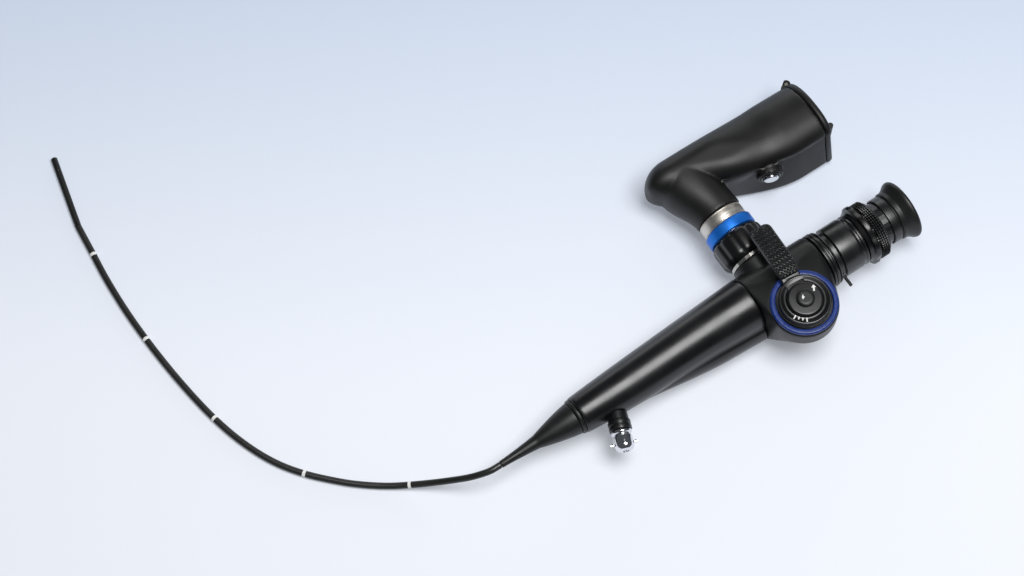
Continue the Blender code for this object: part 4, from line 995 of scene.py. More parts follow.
def hub_cap():
    """The low domed cap on the lever's axis; returns the height of its top."""
    bottom = DISC_TOP + GAP
    radius = 4.4 * MM
    height = 1.6 * MM
    outline = [(bottom, 0.0), (bottom, radius), (bottom + 0.5 * MM, radius)]
    for k in range(1, 9):
        t = math.radians(90.0 * k / 9.0)
        along = bottom + 0.5 * MM + (height - 0.5 * MM) * math.sin(t)
        outline.append((along, 0.55 * radius + 0.45 * radius * math.cos(t)))
    outline.append((bottom + height, 0.50 * radius))
    outline.append((bottom + height - 0.05 * MM, 0.0))
    stands_for(turned("hub_cap", outline, upright(0.0), satin_black, 72, fillet=0.1 * MM), "lever_hub_cap")
    return bottom + height


def flat_mark(name, outline, z, depth, node):
    """A thin printed mark: a flat outline of (x, y) points given a film's thickness."""
    shape = bmesh.new()
    low = [shape.verts.new((x, y, z - depth)) for x, y in outline]
    high = [shape.verts.new((x, y, z)) for x, y in outline]
    count = len(outline)
    for k in range(count):
        n = (k + 1) % count
        shape.faces.new((low[k], low[n], high[n], high[k]))
    shape.faces.new(low)
    shape.faces.new(high)
    return trim(piece_from(name, shape, white_ink), node)


def arrow(centre, heading, length):
    """A plain arrow outline about a centre; heading turns it from +X."""
    half = length / 2.0
    points = (
        (-half, -0.13 * length),
        (0.05 * length, -0.13 * length),
        (0.05 * length, -0.36 * length),
        (half, 0.0),
        (0.05 * length, 0.36 * length),
        (0.05 * length, 0.13 * length),
        (-half, 0.13 * length),
    )
    turn = Matrix.Rotation(heading, 2)
    return [tuple(Vector(centre) + turn @ Vector(p)) for p in points]


def lever_marks(cap_top):
    """Plain arrows for the two ways the tip bends, and a short scale of ticks on the dish."""
    down = arrow(DOWN_ARROW_AT, ARROW_HEADING + math.pi, 3.0 * MM)
    flat_mark("down_arrow", down, cap_top - 0.01 * MM, 0.12 * MM, "lever_hub_cap")
    up = arrow(UP_ARROW_AT, ARROW_HEADING, 3.2 * MM)
    flat_mark("up_arrow", up, DISC_TOP + PRINT_THICKNESS, 0.1 * MM, "lever_disc")
    near = BOSS_TOP_R + 0.75 * MM
    for number in range(1, TICK_COUNT + 1):
        turn = Matrix.Rotation(TICK_START + (number - 1) * TICK_STEP, 2)
        far = DISC_R - (1.15 if number in (1, TICK_COUNT) else 1.9) * MM
        corners = ((near, -TICK_HALF), (far, -TICK_HALF), (far, TICK_HALF), (near, TICK_HALF))
        outline = [tuple(turn @ Vector(c)) for c in corners]
        flat_mark(f"dish_tick_{number}", outline, DISC_TOP - 1.0 * MM, 0.7 * MM, "lever_disc")


head_body()
blue_ring()
lever_wheel()
thumb_pad()
lever_marks(hub_cap())


# Eyepiece

FLANGE_START = HEAD_REAR + GAP
FLANGE_WIDTH = 4.8 * MM
FLANGE_R = 14.1 * MM
BARREL_START = FLANGE_START + FLANGE_WIDTH + GAP
BARREL_END = 43.5 * MM
BARREL_R = 12.9 * MM
GROOVE_WIDTH = 2.2 * MM
GROOVE_DEPTH = 1.2 * MM
SLEEVE_START = BARREL_END + GAP
SLEEVE_R = 10.8 * MM
FOCUS_WIDTH = 11.0 * MM
FOCUS_R = 15.3 * MM
FOCUS_RIBS = 18
CUP_START = 59.0 * MM
CUP_END = 72.5 * MM
CUP_SEAT = 3.5 * MM
CUP_JOINT = 5.0 * MM
CUP_NECK_R = 11.8 * MM
CUP_R = 14.9 * MM
CUP_THROAT_R = 8.6 * MM
CUP_MOUTH_R = 12.4 * MM


def eyepiece_body():
    """The grooved seat ring against the head and the tube behind it."""
    outline = [
        (0.0, 0.0),
        (0.0, FLANGE_R - 0.3 * MM),
        (0.3 * MM, FLANGE_R),
        (FLANGE_WIDTH * 0.22, FLANGE_R),
        (FLANGE_WIDTH * 0.26, FLANGE_R - 0.5 * MM),
        (FLANGE_WIDTH * 0.32, FLANGE_R - 0.5 * MM),
        (FLANGE_WIDTH * 0.36, FLANGE_R),
        (FLANGE_WIDTH * 0.58, FLANGE_R),
        (FLANGE_WIDTH * 0.64, FLANGE_R - 1.3 * MM),
        (FLANGE_WIDTH * 0.80, FLANGE_R - 1.3 * MM),
        (FLANGE_WIDTH * 0.85, FLANGE_R - 0.3 * MM),
        (FLANGE_WIDTH, FLANGE_R - 0.6 * MM),
        (FLANGE_WIDTH, 0.0),
    ]
    place = along_x(FLANGE_START)
    flange = turned("eyepiece_seat_ring", outline, place, anodised_black, 144, fillet=0.2 * MM)
    stands_for(flange, "eyepiece_flange")
    length = BARREL_END - BARREL_START
    outline = [
        (0.0, 0.0),
        (0.0, BARREL_R - GROOVE_DEPTH),
        (GROOVE_WIDTH, BARREL_R - GROOVE_DEPTH),
        (GROOVE_WIDTH + 0.5 * MM, BARREL_R),
        (length - 3.4 * MM, BARREL_R),
        (length - 2.8 * MM, BARREL_R - 0.7 * MM),
        (length - 1.6 * MM, BARREL_R - 0.7 * MM),
        (length - 1.3 * MM, BARREL_R - 0.1 * MM),
        (length - 0.3 * MM, BARREL_R - 0.1 * MM),
        (length, BARREL_R - 0.5 * MM),
        (length, 0.0),
    ]
    place = along_x(BARREL_START)
    barrel = turned("eyepiece_tube", outline, place, anodised_black, 144, fillet=0.25 * MM)
    stands_for(barrel, "eyepiece_barrel")


def focus_collar():
    """The focusing collar: broad finger lobes in front and a finely toothed band behind."""
    inner = SLEEVE_R + 0.3 * MM
    rows = 4
    lobes_end = 0.42 * FOCUS_WIDTH
    band_start = 0.52 * FOCUS_WIDTH
    band_end = FOCUS_WIDTH - 0.9 * MM
    row = (band_end - band_start) / rows

    def teeth(along, radius, angle):
        if radius < FOCUS_R - 1.9 * MM:
            return radius
        if along < band_start - 0.2 * MM:
            return radius - 0.9 * MM * (0.5 - 0.5 * math.cos(FOCUS_RIBS / 3.0 * angle)) ** 2
        return radius - 0.45 * MM * (0.5 - 0.5 * math.cos(FOCUS_RIBS * 4.0 * angle)) ** 0.7

    outline = [
        (0.0, inner),
        (0.0, BARREL_R - 0.4 * MM),
        (1.6 * MM, FOCUS_R - 2.0 * MM),
        (2.1 * MM, FOCUS_R - 0.2 * MM),
        (2.6 * MM, FOCUS_R),
        (lobes_end - 0.4 * MM, FOCUS_R),
        (lobes_end, FOCUS_R - 0.4 * MM),
        (lobes_end + 0.1 * MM, FOCUS_R - 1.85 * MM),
        (band_start, FOCUS_R - 1.85 * MM),
    ]
    for k in range(rows):
        start = band_start + k * row
        outline += [
            (start + 0.12 * row, FOCUS_R - 1.0 * MM),
            (start + 0.24 * row, FOCUS_R - 0.75 * MM),
            (start + 0.76 * row, FOCUS_R - 0.75 * MM),
            (start + 0.88 * row, FOCUS_R - 1.0 * MM),
            (start + row, FOCUS_R - 1.45 * MM),
        ]
    outline += [(FOCUS_WIDTH, FOCUS_R - 2.2 * MM), (FOCUS_WIDTH, inner)]
    place = along_x(SLEEVE_START + 0.3 * MM)
    collar = turned("focus_collar", outline, place, gloss_black, 432, True, 0.0, teeth, 30.0)
    stands_for(collar, "focus_ring")


def eye_cup():
    """The satin carrier on the sleeve and the wide rubber cup with its rolled lip."""
    bore = SLEEVE_R + GAP
    outline = [
        (0.0, bore),
        (0.0, CUP_NECK_R - 0.2 * MM),
        (0.3 * MM, CUP_NECK_R),
        (CUP_JOINT - 1.0 * MM, CUP_NECK_R),
        (CUP_JOINT - 0.7 * MM, CUP_NECK_R - 0.5 * MM),
        (CUP_JOINT + 0.6 * MM, CUP_NECK_R - 0.5 * MM),
        (CUP_JOINT + 0.6 * MM, CUP_THROAT_R + 0.6 * MM),
        (CUP_SEAT, CUP_THROAT_R + 0.6 * MM),
        (CUP_SEAT, bore),
    ]
    place = along_x(CUP_START)
    carrier = turned("cup_carrier", outline, place, anodised_black, 144, True, 0.15 * MM)
    length = CUP_END - CUP_START - CUP_JOINT
    outline = [
        (0.0, CUP_THROAT_R),
        (0.0, CUP_NECK_R + 0.1 * MM),
        (0.5 * MM, CUP_NECK_R + 0.5 * MM),
        (0.28 * length, CUP_NECK_R + 0.5 * MM),
        (0.50 * length, CUP_NECK_R + 1.5 * MM),
        (0.66 * length, CUP_R - 0.5 * MM),
        (0.78 * length, CUP_R),
        (length - 0.9 * MM, CUP_R),
        (length - 0.2 * MM, CUP_R - 0.5 * MM),
        (length, CUP_R - 1.2 * MM),
        (length, CUP_MOUTH_R + 0.3 * MM),
        (length - 0.5 * MM, CUP_MOUTH_R - 0.2 * MM),
        (length - 3.0 * MM, CUP_THROAT_R + 1.9 * MM),
        (0.25 * length, CUP_THROAT_R),
    ]
    place = along_x(CUP_START + CUP_JOINT)
    cup = turned("eye_cup", outline, place, rubber, 144, True, 0.5 * MM)
    stands_for(cup, "eyecup")
    trim(carrier, "eyecup")


eyepiece_body()
focus_collar()
eye_cup()


# Light connector

NOSE_START = 49.8 * MM
NOSE_R = 9.6 * MM
NUT_START = NECK_END + GAP + 1.6 * MM + GAP
NUT_R = 13.3 * MM
NUT_BORE_R = 8.5 * MM
NUT_RIBS = 10
BLUE_START = NOSE_START + GAP
BLUE_WIDTH = 5.2 * MM
BLUE_R = 12.5 * MM
STEEL_START = BLUE_START + BLUE_WIDTH + GAP
STEEL_WIDTH = 6.2 * MM
STEEL_R = 11.5 * MM
SOURCE_NECK_Y = STEEL_START + STEEL_WIDTH + GAP
LINE_DEPTH = 0.22 * MM
LINE_FLOOR = 0.10 * MM


def coupling_nut():
    """The union nut, with ten shallow finger flutes."""
    length = NOSE_START - GAP - NUT_START

    def flutes(along, radius, angle):
        if radius < NUT_R - 0.8 * MM:
            return radius
        return radius - 0.5 * MM * (0.5 + 0.5 * math.cos(NUT_RIBS * angle)) ** 3

    outline = [
        (0.0, NUT_BORE_R),
        (0.0, NUT_R - 2.2 * MM),
        (0.8 * MM, NUT_R - 1.2 * MM),
        (1.8 * MM, NUT_R - 0.4 * MM),
        (3.0 * MM, NUT_R),
        (length - 3.0 * MM, NUT_R),
        (length - 1.4 * MM, NUT_R - 0.3 * MM),
        (length - 0.5 * MM, NUT_R - 0.9 * MM),
        (length, NUT_R - 1.8 * MM),
        (length, NUT_BORE_R),
    ]
    nut = turned("coupling_nut", outline, along_y(NUT_START), gloss_black, 240, True, 0.3 * MM, flutes, 40.0)
    stands_for(nut, "union_nut")


def band(name, start, width, radius, material, node, grooves):
    """A turned band; grooves lists where fine turned lines run round it."""
    inner = NOSE_R + GAP
    outline = [(start, inner), (start, radius - 0.4 * MM), (start + 0.4 * MM, radius)]
    for share in grooves:
        middle = start + share * width
        outline += [
            (middle - LINE_DEPTH, radius),
            (middle - LINE_FLOOR, radius - LINE_DEPTH),
            (middle + LINE_FLOOR, radius - LINE_DEPTH),
            (middle + LINE_DEPTH, radius),
        ]
    end = start + width
    outline += [(end - 0.4 * MM, radius), (end, radius - 0.4 * MM), (end, inner)]
    stands_for(turned(name, outline, along_y(0.0), material, 144, True, 0.1 * MM), node)


coupling_nut()
band("blue_collar", BLUE_START, BLUE_WIDTH, BLUE_R, anodised_blue, "blue_band", ())
band("steel_collar", STEEL_START, STEEL_WIDTH, STEEL_R, turned_steel, "steel_band", (0.14, 0.86))


# Light source

SOURCE_FRONT_Y = 61.0 * MM
SOURCE_BACK_Y = 99.0 * MM
SOURCE_HEIGHT = 33.5 * MM
SOURCE_LEFT_X = -25.0 * MM
SOURCE_RIGHT_X = 61.2 * MM
SOURCE_TOP_ROUND = 10.0 * MM
SOURCE_BASE_ROUND = 4.5 * MM
SOURCE_END_ROUND = 13.0 * MM
END_NARROWS = 0.90
END_FLATTENS = 0.60
ROUND_LIMIT = 0.98
NOSE_END_X = 6.0 * MM
NOSE_RISE = 5.5 * MM
NOSE_ROUND = 8.0 * MM
SHOULDER_START_X = -20.0 * MM
SHOULDER_END_X = 48.0 * MM
SHOULDER_DEPTH = 20.0 * MM
FRONT_LEAN = 5.0 * MM
LEAN_START_X = 9.0 * MM
LEAN_END_X = 34.0 * MM
CREASE_START_X = 4.0 * MM
CREASE_Z = 25.5 * MM
CREASE_STEP = 0.6 * MM
RIDGE_WIDTH = 12.0 * MM
CROWN_WIDTH = 20.0 * MM
CROWN_DROP = 14.0 * MM
SOURCE_SWELL = 1.0 * MM
SWELL_START_X = 33.0 * MM
SWELL_END_X = 44.0 * MM
ELBOW_X = -6.8 * MM
ELBOW_HALF = 14.3 * MM
ELBOW_TALL = 15.8 * MM
ELBOW_Z = 16.6 * MM
ELBOW_BACK = 11.0 * MM
ELBOW_SQUARE = 0.84
SOURCE_NECK_R = 12.0 * MM
LID_THICKNESS = 3.6 * MM
LID_ROLL = 1.5 * MM
LID_ROLL_INSET = 3.4 * MM
PIN_X = SOURCE_RIGHT_X + GAP + 1.0 * MM
PIN_Y = SOURCE_BACK_Y + 0.4 * MM
PIN_R = 1.1 * MM
KNUCKLE_R = 2.1 * MM
HINGE_BOTTOM = 8.0 * MM
HINGE_TOP = 23.0 * MM
LIP_Y = 68.5 * MM
LIP_WIDTH = 2.8 * MM
LIP_PROUD = 2.0 * MM
LIP_BOTTOM = 17.0 * MM
LIP_TOP = 28.0 * MM
CELL_R = 5.25 * MM
CELL_PITCH = 11.4 * MM
CELL_MIDDLE_Y = 84.0 * MM
CELL_Z = 16.8 * MM
BAY_START_X = 13.7 * MM
BAY_CLEAR = 0.45 * MM
BUTTON_X = 29.0 * MM
BUTTON_Z = 20.0 * MM
BUTTON_R = 3.6 * MM
BEZEL_R = 5.0 * MM
BUTTON_WELL = 2.4 * MM
BUTTON_BOSS_DEPTH = 10.0 * MM
BUTTON_BOSS_PROUD = 0.1 * MM
BUTTON_BOSS_RIM = 1.5 * MM
SOCKET_STEP_Y = 68.0 * MM
SOCKET_END_Y = 76.3 * MM
SOCKET_R = 7.7 * MM
HINGE_WEB = 2.2 * MM


def source_front(x):
    """Where the front wall stands at the base."""
    reach = (x - SHOULDER_START_X) / (SHOULDER_END_X - SHOULDER_START_X)
    return lerp(SOURCE_FRONT_Y + SHOULDER_DEPTH, SOURCE_FRONT_Y, ease(reach))


def front_lean(x):
    """How far the front wall leans back by the time it meets the crease under the ridge."""
    return FRONT_LEAN * ease((x - LEAN_START_X) / (LEAN_END_X - LEAN_START_X))


def source_ring(x, steps=14):
    """The battery body across X: a leaning front, a ridge over a crease and a wide crown to the back."""
    t = min(1.0, max(0.0, (x - SOURCE_LEFT_X) / SOURCE_END_ROUND))
    closing = 1.0 - math.sqrt(1.0 - (1.0 - t) ** 2)
    nose = ease((NOSE_END_X - x) / (NOSE_END_X - SOURCE_LEFT_X))
    lean = front_lean(x)
    share = lean / FRONT_LEAN
    swell = SOURCE_SWELL * ease((x - SWELL_START_X) / (SWELL_END_X - SWELL_START_X))
    low = NOSE_RISE * nose
    high = SOURCE_HEIGHT - SOURCE_SWELL + swell
    half_y = (SOURCE_BACK_Y - source_front(x)) / 2.0 * (1.0 - END_NARROWS * closing)
    half_z = (high - low) / 2.0 * (1.0 - END_FLATTENS * closing)
    y0 = (SOURCE_BACK_Y + source_front(x)) / 2.0 - half_y
    y1 = y0 + 2.0 * half_y
    z0 = (high + low) / 2.0 - half_z
    z1 = z0 + 2.0 * half_z
    back_wide = lerp(SOURCE_TOP_ROUND, CROWN_WIDTH, share)
    back_tall = lerp(SOURCE_TOP_ROUND, CROWN_DROP, max(0.0, x / SOURCE_RIGHT_X))
    ridge = lerp(SOURCE_TOP_ROUND, RIDGE_WIDTH, share)
    ridge_tall = lerp(SOURCE_TOP_ROUND, z1 - CREASE_Z - CREASE_STEP, share)
    base = lerp(SOURCE_BASE_ROUND, NOSE_ROUND, nose)
    room_y = min(1.0, 2.0 * ROUND_LIMIT * half_y / (back_wide + ridge))
    room_z = min(1.0, 2.0 * ROUND_LIMIT * half_z / (max(back_tall, ridge_tall) + base))
    back_wide *= room_y
    ridge *= room_y
    back_tall *= room_z
    ridge_tall *= room_z
    base_wide = min(base, ROUND_LIMIT * half_y)
    base_tall = base * room_z
    ridge_y = y0 + lean - share * CREASE_STEP
    ring = []
    corners = (
        (y1 - back_wide, z1 - back_tall, back_wide, back_tall, 0.0),
        (ridge_y + ridge, z1 - ridge_tall, ridge, ridge_tall, 90.0),
        (y0 + base_wide, z0 + base_tall, base_wide, base_tall, 180.0),
        (y1 - base_wide, z0 + base_tall, base_wide, base_tall, 270.0),
    )
    for cy, cz, wide, tall, first in corners:
        if first == 180.0:
            below_ridge = lerp(z0 + base_tall, z1 - ridge_tall, 0.6)
            ring.append(Vector((x, y0 + lean, lerp(below_ridge, CREASE_Z, share))))
        for k in range(steps):
            angle = math.radians(first + 90.0 * k / (steps - 1))
            ring.append(Vector((x, cy + wide * math.cos(angle), cz + tall * math.sin(angle))))
    return ring


def elbow_form():
    """The elbow: round at the neck, widening into the end of the battery body."""
    rings = []
    count = 40
    end = SOURCE_BACK_Y - ELBOW_BACK
    for j in range(count + 1):
        t = j / count
        s = ease(t * 1.15)
        centre = Vector((lerp(LIGHT_X, ELBOW_X, s), lerp(SOURCE_NECK_Y, end, t), lerp(LIGHT_Z, ELBOW_Z, s)))
        half = lerp(SOURCE_NECK_R, ELBOW_HALF, s)
        tall = lerp(SOURCE_NECK_R, ELBOW_TALL, s)
        power = lerp(1.0, ELBOW_SQUARE, s)
        ring = []
        for k in range(120):
            angle = 2.0 * math.pi * k / 120
            c = math.cos(angle)
            d = math.sin(angle)
            squared = power if d > 0.0 else 1.0
            x = half * math.copysign(abs(c) ** squared, c)
            z = tall * math.copysign(abs(d) ** squared, d)
            ring.append(centre + Vector((x, 0.0, z)))
        rings.append(ring)
    return skinned("elbow_form", rings, grained_black)


def rod_form(name, start, end, radius, place, sides=72):
    """A plain round form that is only used to cut or join."""
    outline = [(start, 0.0), (start, radius), (end, radius), (end, 0.0)]
    return turned(name, outline, place, grained_black, sides, fillet=0.0)


def pin_place():
    return upright(0.0, PIN_X, PIN_Y)


def knuckle_spans(room):
    """The lid's middle knuckle, then the housing's two outer ones."""
    third = (HINGE_TOP - HINGE_BOTTOM) / 3.0
    low = HINGE_BOTTOM + third
    high = HINGE_TOP - third
    return (low - room, high + room), ((HINGE_BOTTOM, low - GAP), (high + GAP, HINGE_TOP))


def button_place():
    """Local +Z points into the body, square to its slanted front wall."""
    step = 0.5 * MM
    rise = source_front(BUTTON_X + step) - source_front(BUTTON_X - step)
    turn = Matrix.Rotation(math.atan2(rise, 2.0 * step), 4, "Z")
    wall = Matrix.Translation((BUTTON_X, source_front(BUTTON_X), BUTTON_Z))
    return wall @ turn @ Matrix.Rotation(math.radians(-90.0), 4, "X")


def extruded_x(name, outline, start, end):
    """A form with a (y, z) outline that runs along X."""
    rings = [[Vector((x, y, z)) for y, z in outline] for x in (start, end)]
    return skinned(name, rings, grained_black)


def extruded_z(name, outline, start, end):
    """A form with an (x, y) outline that runs along Z."""
    rings = [[Vector((x, y, z)) for x, y in outline] for z in (start, end)]
    return skinned(name, rings, grained_black)


def crease_form():
    """A shallow groove under the ridge, from the elbow to the lid."""
    section = ((-1.2, -0.2), (0.7, 0.2), (-1.2, 0.8))
    rings = []
    for k in range(31):
        x = lerp(CREASE_START_X, SOURCE_RIGHT_X + MM, k / 30.0)
        y = source_front(x) + front_lean(x) + 0.9 * MM * ease(1.0 - k / 6.0) - 0.3 * MM
        rings.append([Vector((x, y + dy * MM, CREASE_Z + dz * MM)) for dy, dz in section])
    return skinned("crease_form", rings, grained_black)


def beyond_end_form():
    """All that lies past the open end of the body."""
    far_x = SOURCE_RIGHT_X + 5.0 * MM
    near_y = SOURCE_FRONT_Y - 5.0 * MM
    far_y = SOURCE_BACK_Y + 5.0 * MM
    square = [(SOURCE_RIGHT_X, near_y), (far_x, near_y), (far_x, far_y), (SOURCE_RIGHT_X, far_y)]
    return extruded_z("end_face_form", square, -2.0 * MM, SOURCE_HEIGHT + 2.0 * MM)


def bay_form():
    """The slot with round ends that holds the two cells side by side."""
    radius = CELL_R + BAY_CLEAR
    reach = CELL_PITCH / 2.0
    outline = []
    for centre, start in ((CELL_MIDDLE_Y + reach, -90.0), (CELL_MIDDLE_Y - reach, 90.0)):
        for k in range(25):
            angle = math.radians(start + 7.5 * k)
            outline.append((centre + radius * math.cos(angle), CELL_Z + radius * math.sin(angle)))
    return extruded_x("bay_form", outline, BAY_START_X, SOURCE_RIGHT_X + MM)


def socket_form():
    """The bore for the nose and, behind it, the narrower one for the lamp module."""
    mouth = SOURCE_NECK_Y - MM
    outline = [
        (mouth, 0.0),
        (mouth, NOSE_R + GAP),
        (SOCKET_STEP_Y, NOSE_R + GAP),
        (SOCKET_STEP_Y, SOCKET_R),
        (SOCKET_END_Y, SOCKET_R),
        (SOCKET_END_Y, 0.0),
    ]
    return turned("socket_form", outline, along_y(0.0), grained_black, 72, fillet=0.0)


def side_knuckle_form(number, span):
    """One outer knuckle of the hinge, with the web that joins it to the body."""
    web_x = SOURCE_RIGHT_X - HINGE_WEB
    outline = [(web_x, SOURCE_BACK_Y - 0.1 * MM), (web_x, PIN_Y - KNUCKLE_R)]
    for k in range(25):
        angle = math.radians(-90.0 + 7.5 * k)
        outline.append((PIN_X + KNUCKLE_R * math.cos(angle), PIN_Y + KNUCKLE_R * math.sin(angle)))
    return extruded_z(f"side_knuckle_form_{number}", outline, *span)


def battery_body():
    """The L-shaped light source: neck, elbow and battery body run together in one soft moulding."""
    stations = []
    for k in range(19):
        angle = math.radians(5.0 * k)
        stations.append(SOURCE_LEFT_X + SOURCE_END_ROUND * (1.0 - math.cos(angle)))
    first = stations[-1]
    stations += [lerp(first, SOURCE_RIGHT_X, k / 60.0) for k in range(1, 61)]
    body = skinned("battery_body", [source_ring(x) for x in stations], grained_black)
    carve(body, elbow_form(), "UNION")
    rim = BEZEL_R + BUTTON_BOSS_RIM
    boss = rod_form("button_boss_form", -BUTTON_BOSS_PROUD, BUTTON_BOSS_DEPTH, rim, button_place())
    carve(body, boss, "UNION")
    melted(body, SOURCE_GRAIN)
    carve(body, crease_form())
    carve(body, beyond_end_form())
    carve(body, bay_form())
    carve(body, socket_form())
    carve(body, rod_form("button_well_form", -MM, BUTTON_WELL, BEZEL_R + GAP, button_place()))
    middle, sides = knuckle_spans(GAP)
    carve(body, rod_form("lid_knuckle_form", *middle, KNUCKLE_R + GAP, pin_place()))
    for number, span in enumerate(sides, start=1):
        carve(body, side_knuckle_form(number, span), "UNION")
    carve(body, rod_form("pin_bore_form", HINGE_BOTTOM - MM, HINGE_TOP + MM, PIN_R + GAP, pin_place()))
    edges_over(body, 40.0)
    stands_for(body, "source_housing")


def bay_lid():
    """The end lid with rolled edges, its finger lip and the middle knuckle of its hinge."""
    start = SOURCE_RIGHT_X + GAP
    outer = start + LID_THICKNESS
    face = source_ring(SOURCE_RIGHT_X)
    middle = sum(face, Vector()) / len(face)
    rings = []
    steps = [(start, 0.25 * MM), (start + 0.3 * MM, -0.15 * MM), (start + 0.9 * MM, -0.4 * MM)]
    steps.append((outer - 1.9 * MM, -0.35 * MM))
    for k in range(9):
        t = math.radians(90.0 * k / 8.0)
        x = outer - LID_ROLL + LID_ROLL * math.sin(t)
        steps.append((x, -0.2 * MM + LID_ROLL_INSET * (1.0 - math.cos(t))))
    for x, inset in steps:
        ring = []
        for point in face:
            inward = (middle - point).normalized() * inset
            ring.append(Vector((x, point.y + inward.y, max(0.0, point.z + inward.z))))
        rings.append(ring)
    lid = skinned("bay_lid", rings, grained_black)
    back = start + LID_THICKNESS / 2.0
    out = outer + LIP_PROUD
    half = LIP_WIDTH / 2.0
    ring = [(back, LIP_Y - half - 0.4 * MM), (outer + 0.3 * MM, LIP_Y - half - 0.2 * MM)]
    for k in range(13):
        angle = math.radians(-90.0 + 15.0 * k)
        ring.append((out - half + half * math.cos(angle), LIP_Y + half * math.sin(angle)))
    ring += [(outer + 0.3 * MM, LIP_Y + half + 0.2 * MM), (back, LIP_Y + half + 0.4 * MM)]
    carve(lid, extruded_z("lip_form", ring, LIP_BOTTOM, LIP_TOP), "UNION")
    span, sides = knuckle_spans(0.0)
    for number, (low, high) in enumerate(sides, start=1):
        notch = rod_form(f"lid_notch_form_{number}", low - GAP, high + GAP, KNUCKLE_R + GAP, pin_place())
        carve(lid, notch)
    carve(lid, rod_form("lid_barrel_form", *span, KNUCKLE_R, pin_place()), "UNION")
    carve(lid, rod_form("lid_bore_form", HINGE_BOTTOM - MM, HINGE_TOP + MM, PIN_R + GAP, pin_place()))
    edges_over(lid, 32.0)
    stands_for(lid, "battery_lid")


def push_button():
    """The domed button in its raised surround."""
    bottom = BUTTON_WELL - GAP
    outline = [
        (bottom, BUTTON_R + GAP),
        (bottom, BEZEL_R),
        (-0.2 * MM, BEZEL_R),
        (-0.5 * MM, BEZEL_R - 0.4 * MM),
        (-0.5 * MM, BUTTON_R + GAP + 0.3 * MM),
        (-0.2 * MM, BUTTON_R + GAP),
    ]
    bezel = turned("button_surround", outline, button_place(), anodised_black, 72, True, 0.1 * MM)
    stands_for(bezel, "button_bezel")
    back = bottom - 0.8 * MM
    proud = 1.6 * MM
    outline = [(back, 0.0), (back, BUTTON_R), (-proud + 0.6 * MM, BUTTON_R)]
    for k in range(1, 7):
        t = math.radians(15.0 * k)
        along = -proud + 0.6 * MM - 0.6 * MM * math.sin(t)
        outline.append((along, BUTTON_R - 0.9 * MM * (1.0 - math.cos(t))))
    outline += [(-proud + 0.12 * MM, 0.45 * BUTTON_R), (-proud + 0.2 * MM, 0.0)]
    stands_for(turned("push_button", outline, button_place(), chrome, 72, fillet=0.1 * MM), "power_button")


battery_body()
bay_lid()
push_button()


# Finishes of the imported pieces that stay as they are

def finish_nodes(material, *nodes):
    """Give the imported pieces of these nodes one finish."""
    for node in nodes:
        slots = frame["nodes"][node].data.materials
        for k in range(len(slots)):
            slots[k] = material


finish_nodes(anodised_black, "index_pin", "ocular_sleeve", "lens_cell", "side_plate", "lamp_module")
finish_nodes(chrome, "vent_pin_front", "vent_pin_rear")
finish_nodes(satin_black, "base_cap")
finish_nodes(plain_steel, "base_screw_1", "base_screw_2", "base_screw_3", "angulation_drum", "light_post")
finish_nodes(plain_steel, "source_nose", "contact_spring_1", "contact_spring_2", "lid_pin")
finish_nodes(glass, "eye_lens", "condenser_lens")
finish_nodes(sleeve_wrap, "battery_cell_1", "battery_cell_2")


# Table and light

TABLE_HALF = 2.5
TABLE_TOP = "#CBD7EA"
TABLE_BOTTOM = "#F0F4FC"
# Painted glow of the board: an emission strength, and the share of it that straight, gloss and glass rays
# see.
TABLE_PAINTED_GLOW = 0.97
TABLE_GLOW_SHARE = 0.28
IMAGE_UP = (0.555, 0.832)
PALE_UNTIL = -0.057
DEEP_FROM = 0.239
ROOM_TONE = "#E6ECF6"
ROOM_FILL = 0.17
ROOM_SEEN = 0.10
STUDIO_TARGET = (0.0, 0.05, 0.02)
OVERHEAD_PLACE = (0.12, -0.20, 1.45)
OVERHEAD_SIZE = (0.65, 0.85)
OVERHEAD_POWER = 21.0
FAR_STRIP_PLACE = (0.72, 1.13, 0.29)
FAR_STRIP_SIZE = (1.7, 0.50)
FAR_STRIP_POWER = 4.8


def background_rays(tree):
    """One for a ray that sees the background straight, in a gloss or through glass, and zero for the rest."""
    path = add(tree, "LightPath")
    straight = {0: path.outputs["Is Camera Ray"], 1: path.outputs["Is Glossy Ray"]}
    seen = add(tree, "Math", straight, operation="MAXIMUM").outputs[0]
    through = {0: seen, 1: path.outputs["Is Transmission Ray"]}
    return add(tree, "Math", through, operation="MAXIMUM").outputs[0]


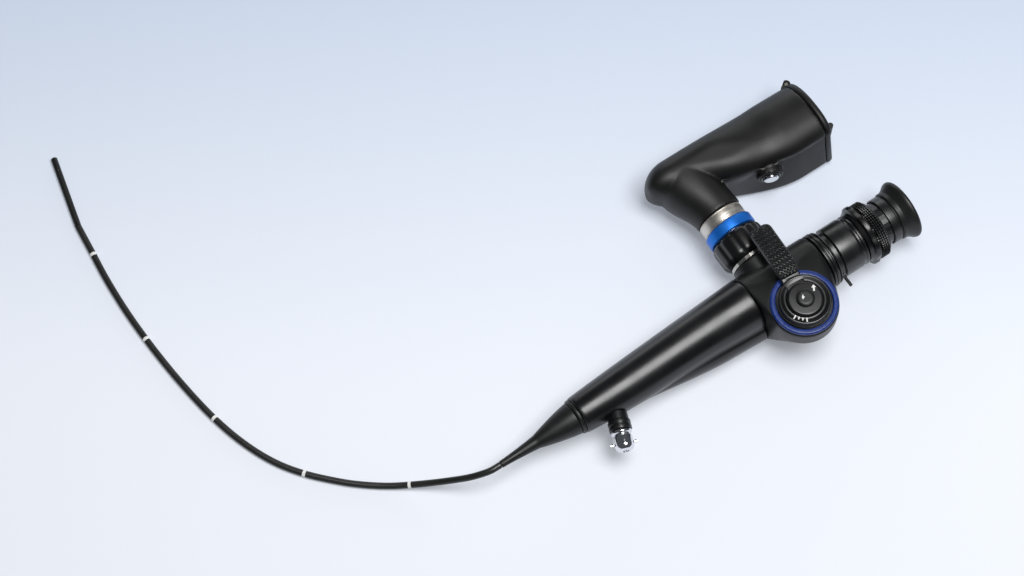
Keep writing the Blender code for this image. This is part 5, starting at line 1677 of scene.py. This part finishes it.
def table_with_painted_glow():
    """A smooth board that grows paler towards the camera; for straight, gloss and glass rays part of its
    colour is a painted glow, an emission that brightens it without a lamp.
    """
    material = bpy.data.materials.new("board_with_painted_glow")
    material.use_nodes = True
    tree = material.node_tree
    tree.nodes.clear()
    place = add(tree, "TexCoord").outputs["Object"]
    away = {0: place, 1: (*IMAGE_UP, 0.0)}
    along = add(tree, "VectorMath", away, operation="DOT_PRODUCT").outputs["Value"]
    limits = {"Value": along, "From Min": PALE_UNTIL, "From Max": DEEP_FROM}
    span = add(tree, "MapRange", limits, interpolation_type="SMOOTHSTEP").outputs[0]
    colours = {"Factor": span, 6: linear(TABLE_BOTTOM), 7: linear(TABLE_TOP)}
    tone = add(tree, "Mix", colours, data_type="RGBA").outputs[2]
    paint = add(tree, "BsdfDiffuse", {"Color": tone}).outputs[0]
    # Painted glow: the board emits its own tone, which brightens it without a lamp and thins the shadows on
    # it.
    painted_glow = add(tree, "Emission", {"Color": tone, "Strength": TABLE_PAINTED_GLOW}).outputs[0]
    share = add(tree, "Math", {0: background_rays(tree), 1: TABLE_GLOW_SHARE}, operation="MULTIPLY").outputs[0]
    surface = add(tree, "MixShader", {0: share, 1: paint, 2: painted_glow}).outputs[0]
    add(tree, "OutputMaterial", {"Surface": surface})
    return material


def table():
    half = TABLE_HALF
    square = ((-half, -half), (half, -half), (half, half), (-half, half))
    shape = bmesh.new()
    shape.faces.new([shape.verts.new((x, y, 0.0)) for x, y in square])
    piece_from("table", shape, table_with_painted_glow())


def softbox(name, place, size, power):
    """A rectangular soft lamp that faces the instrument."""
    data = bpy.data.lights.new(name, "AREA")
    data.shape = "RECTANGLE"
    data.size, data.size_y = size
    data.energy = power
    lamp = bpy.data.objects.new(name, data)
    bpy.context.scene.collection.objects.link(lamp)
    lamp.location = place
    lamp.rotation_euler = (Vector(STUDIO_TARGET) - Vector(place)).to_track_quat("-Z", "Y").to_euler()


def room_light():
    """A dim pale room that fills the shadows."""
    world = bpy.data.worlds.new("room")
    bpy.context.scene.world = world
    world.use_nodes = True
    tree = world.node_tree
    tree.nodes.clear()
    limits = {"Value": background_rays(tree), "To Min": ROOM_FILL, "To Max": ROOM_SEEN}
    level = add(tree, "MapRange", limits).outputs[0]
    back = add(tree, "Background", {"Color": linear(ROOM_TONE), "Strength": level})
    add(tree, "OutputWorld", {"Surface": back.outputs[0]})


table()
softbox("overhead_box", OVERHEAD_PLACE, OVERHEAD_SIZE, OVERHEAD_POWER)
softbox("far_strip", FAR_STRIP_PLACE, FAR_STRIP_SIZE, FAR_STRIP_POWER)
room_light()
bpy.context.scene.view_settings.view_transform = "Standard"
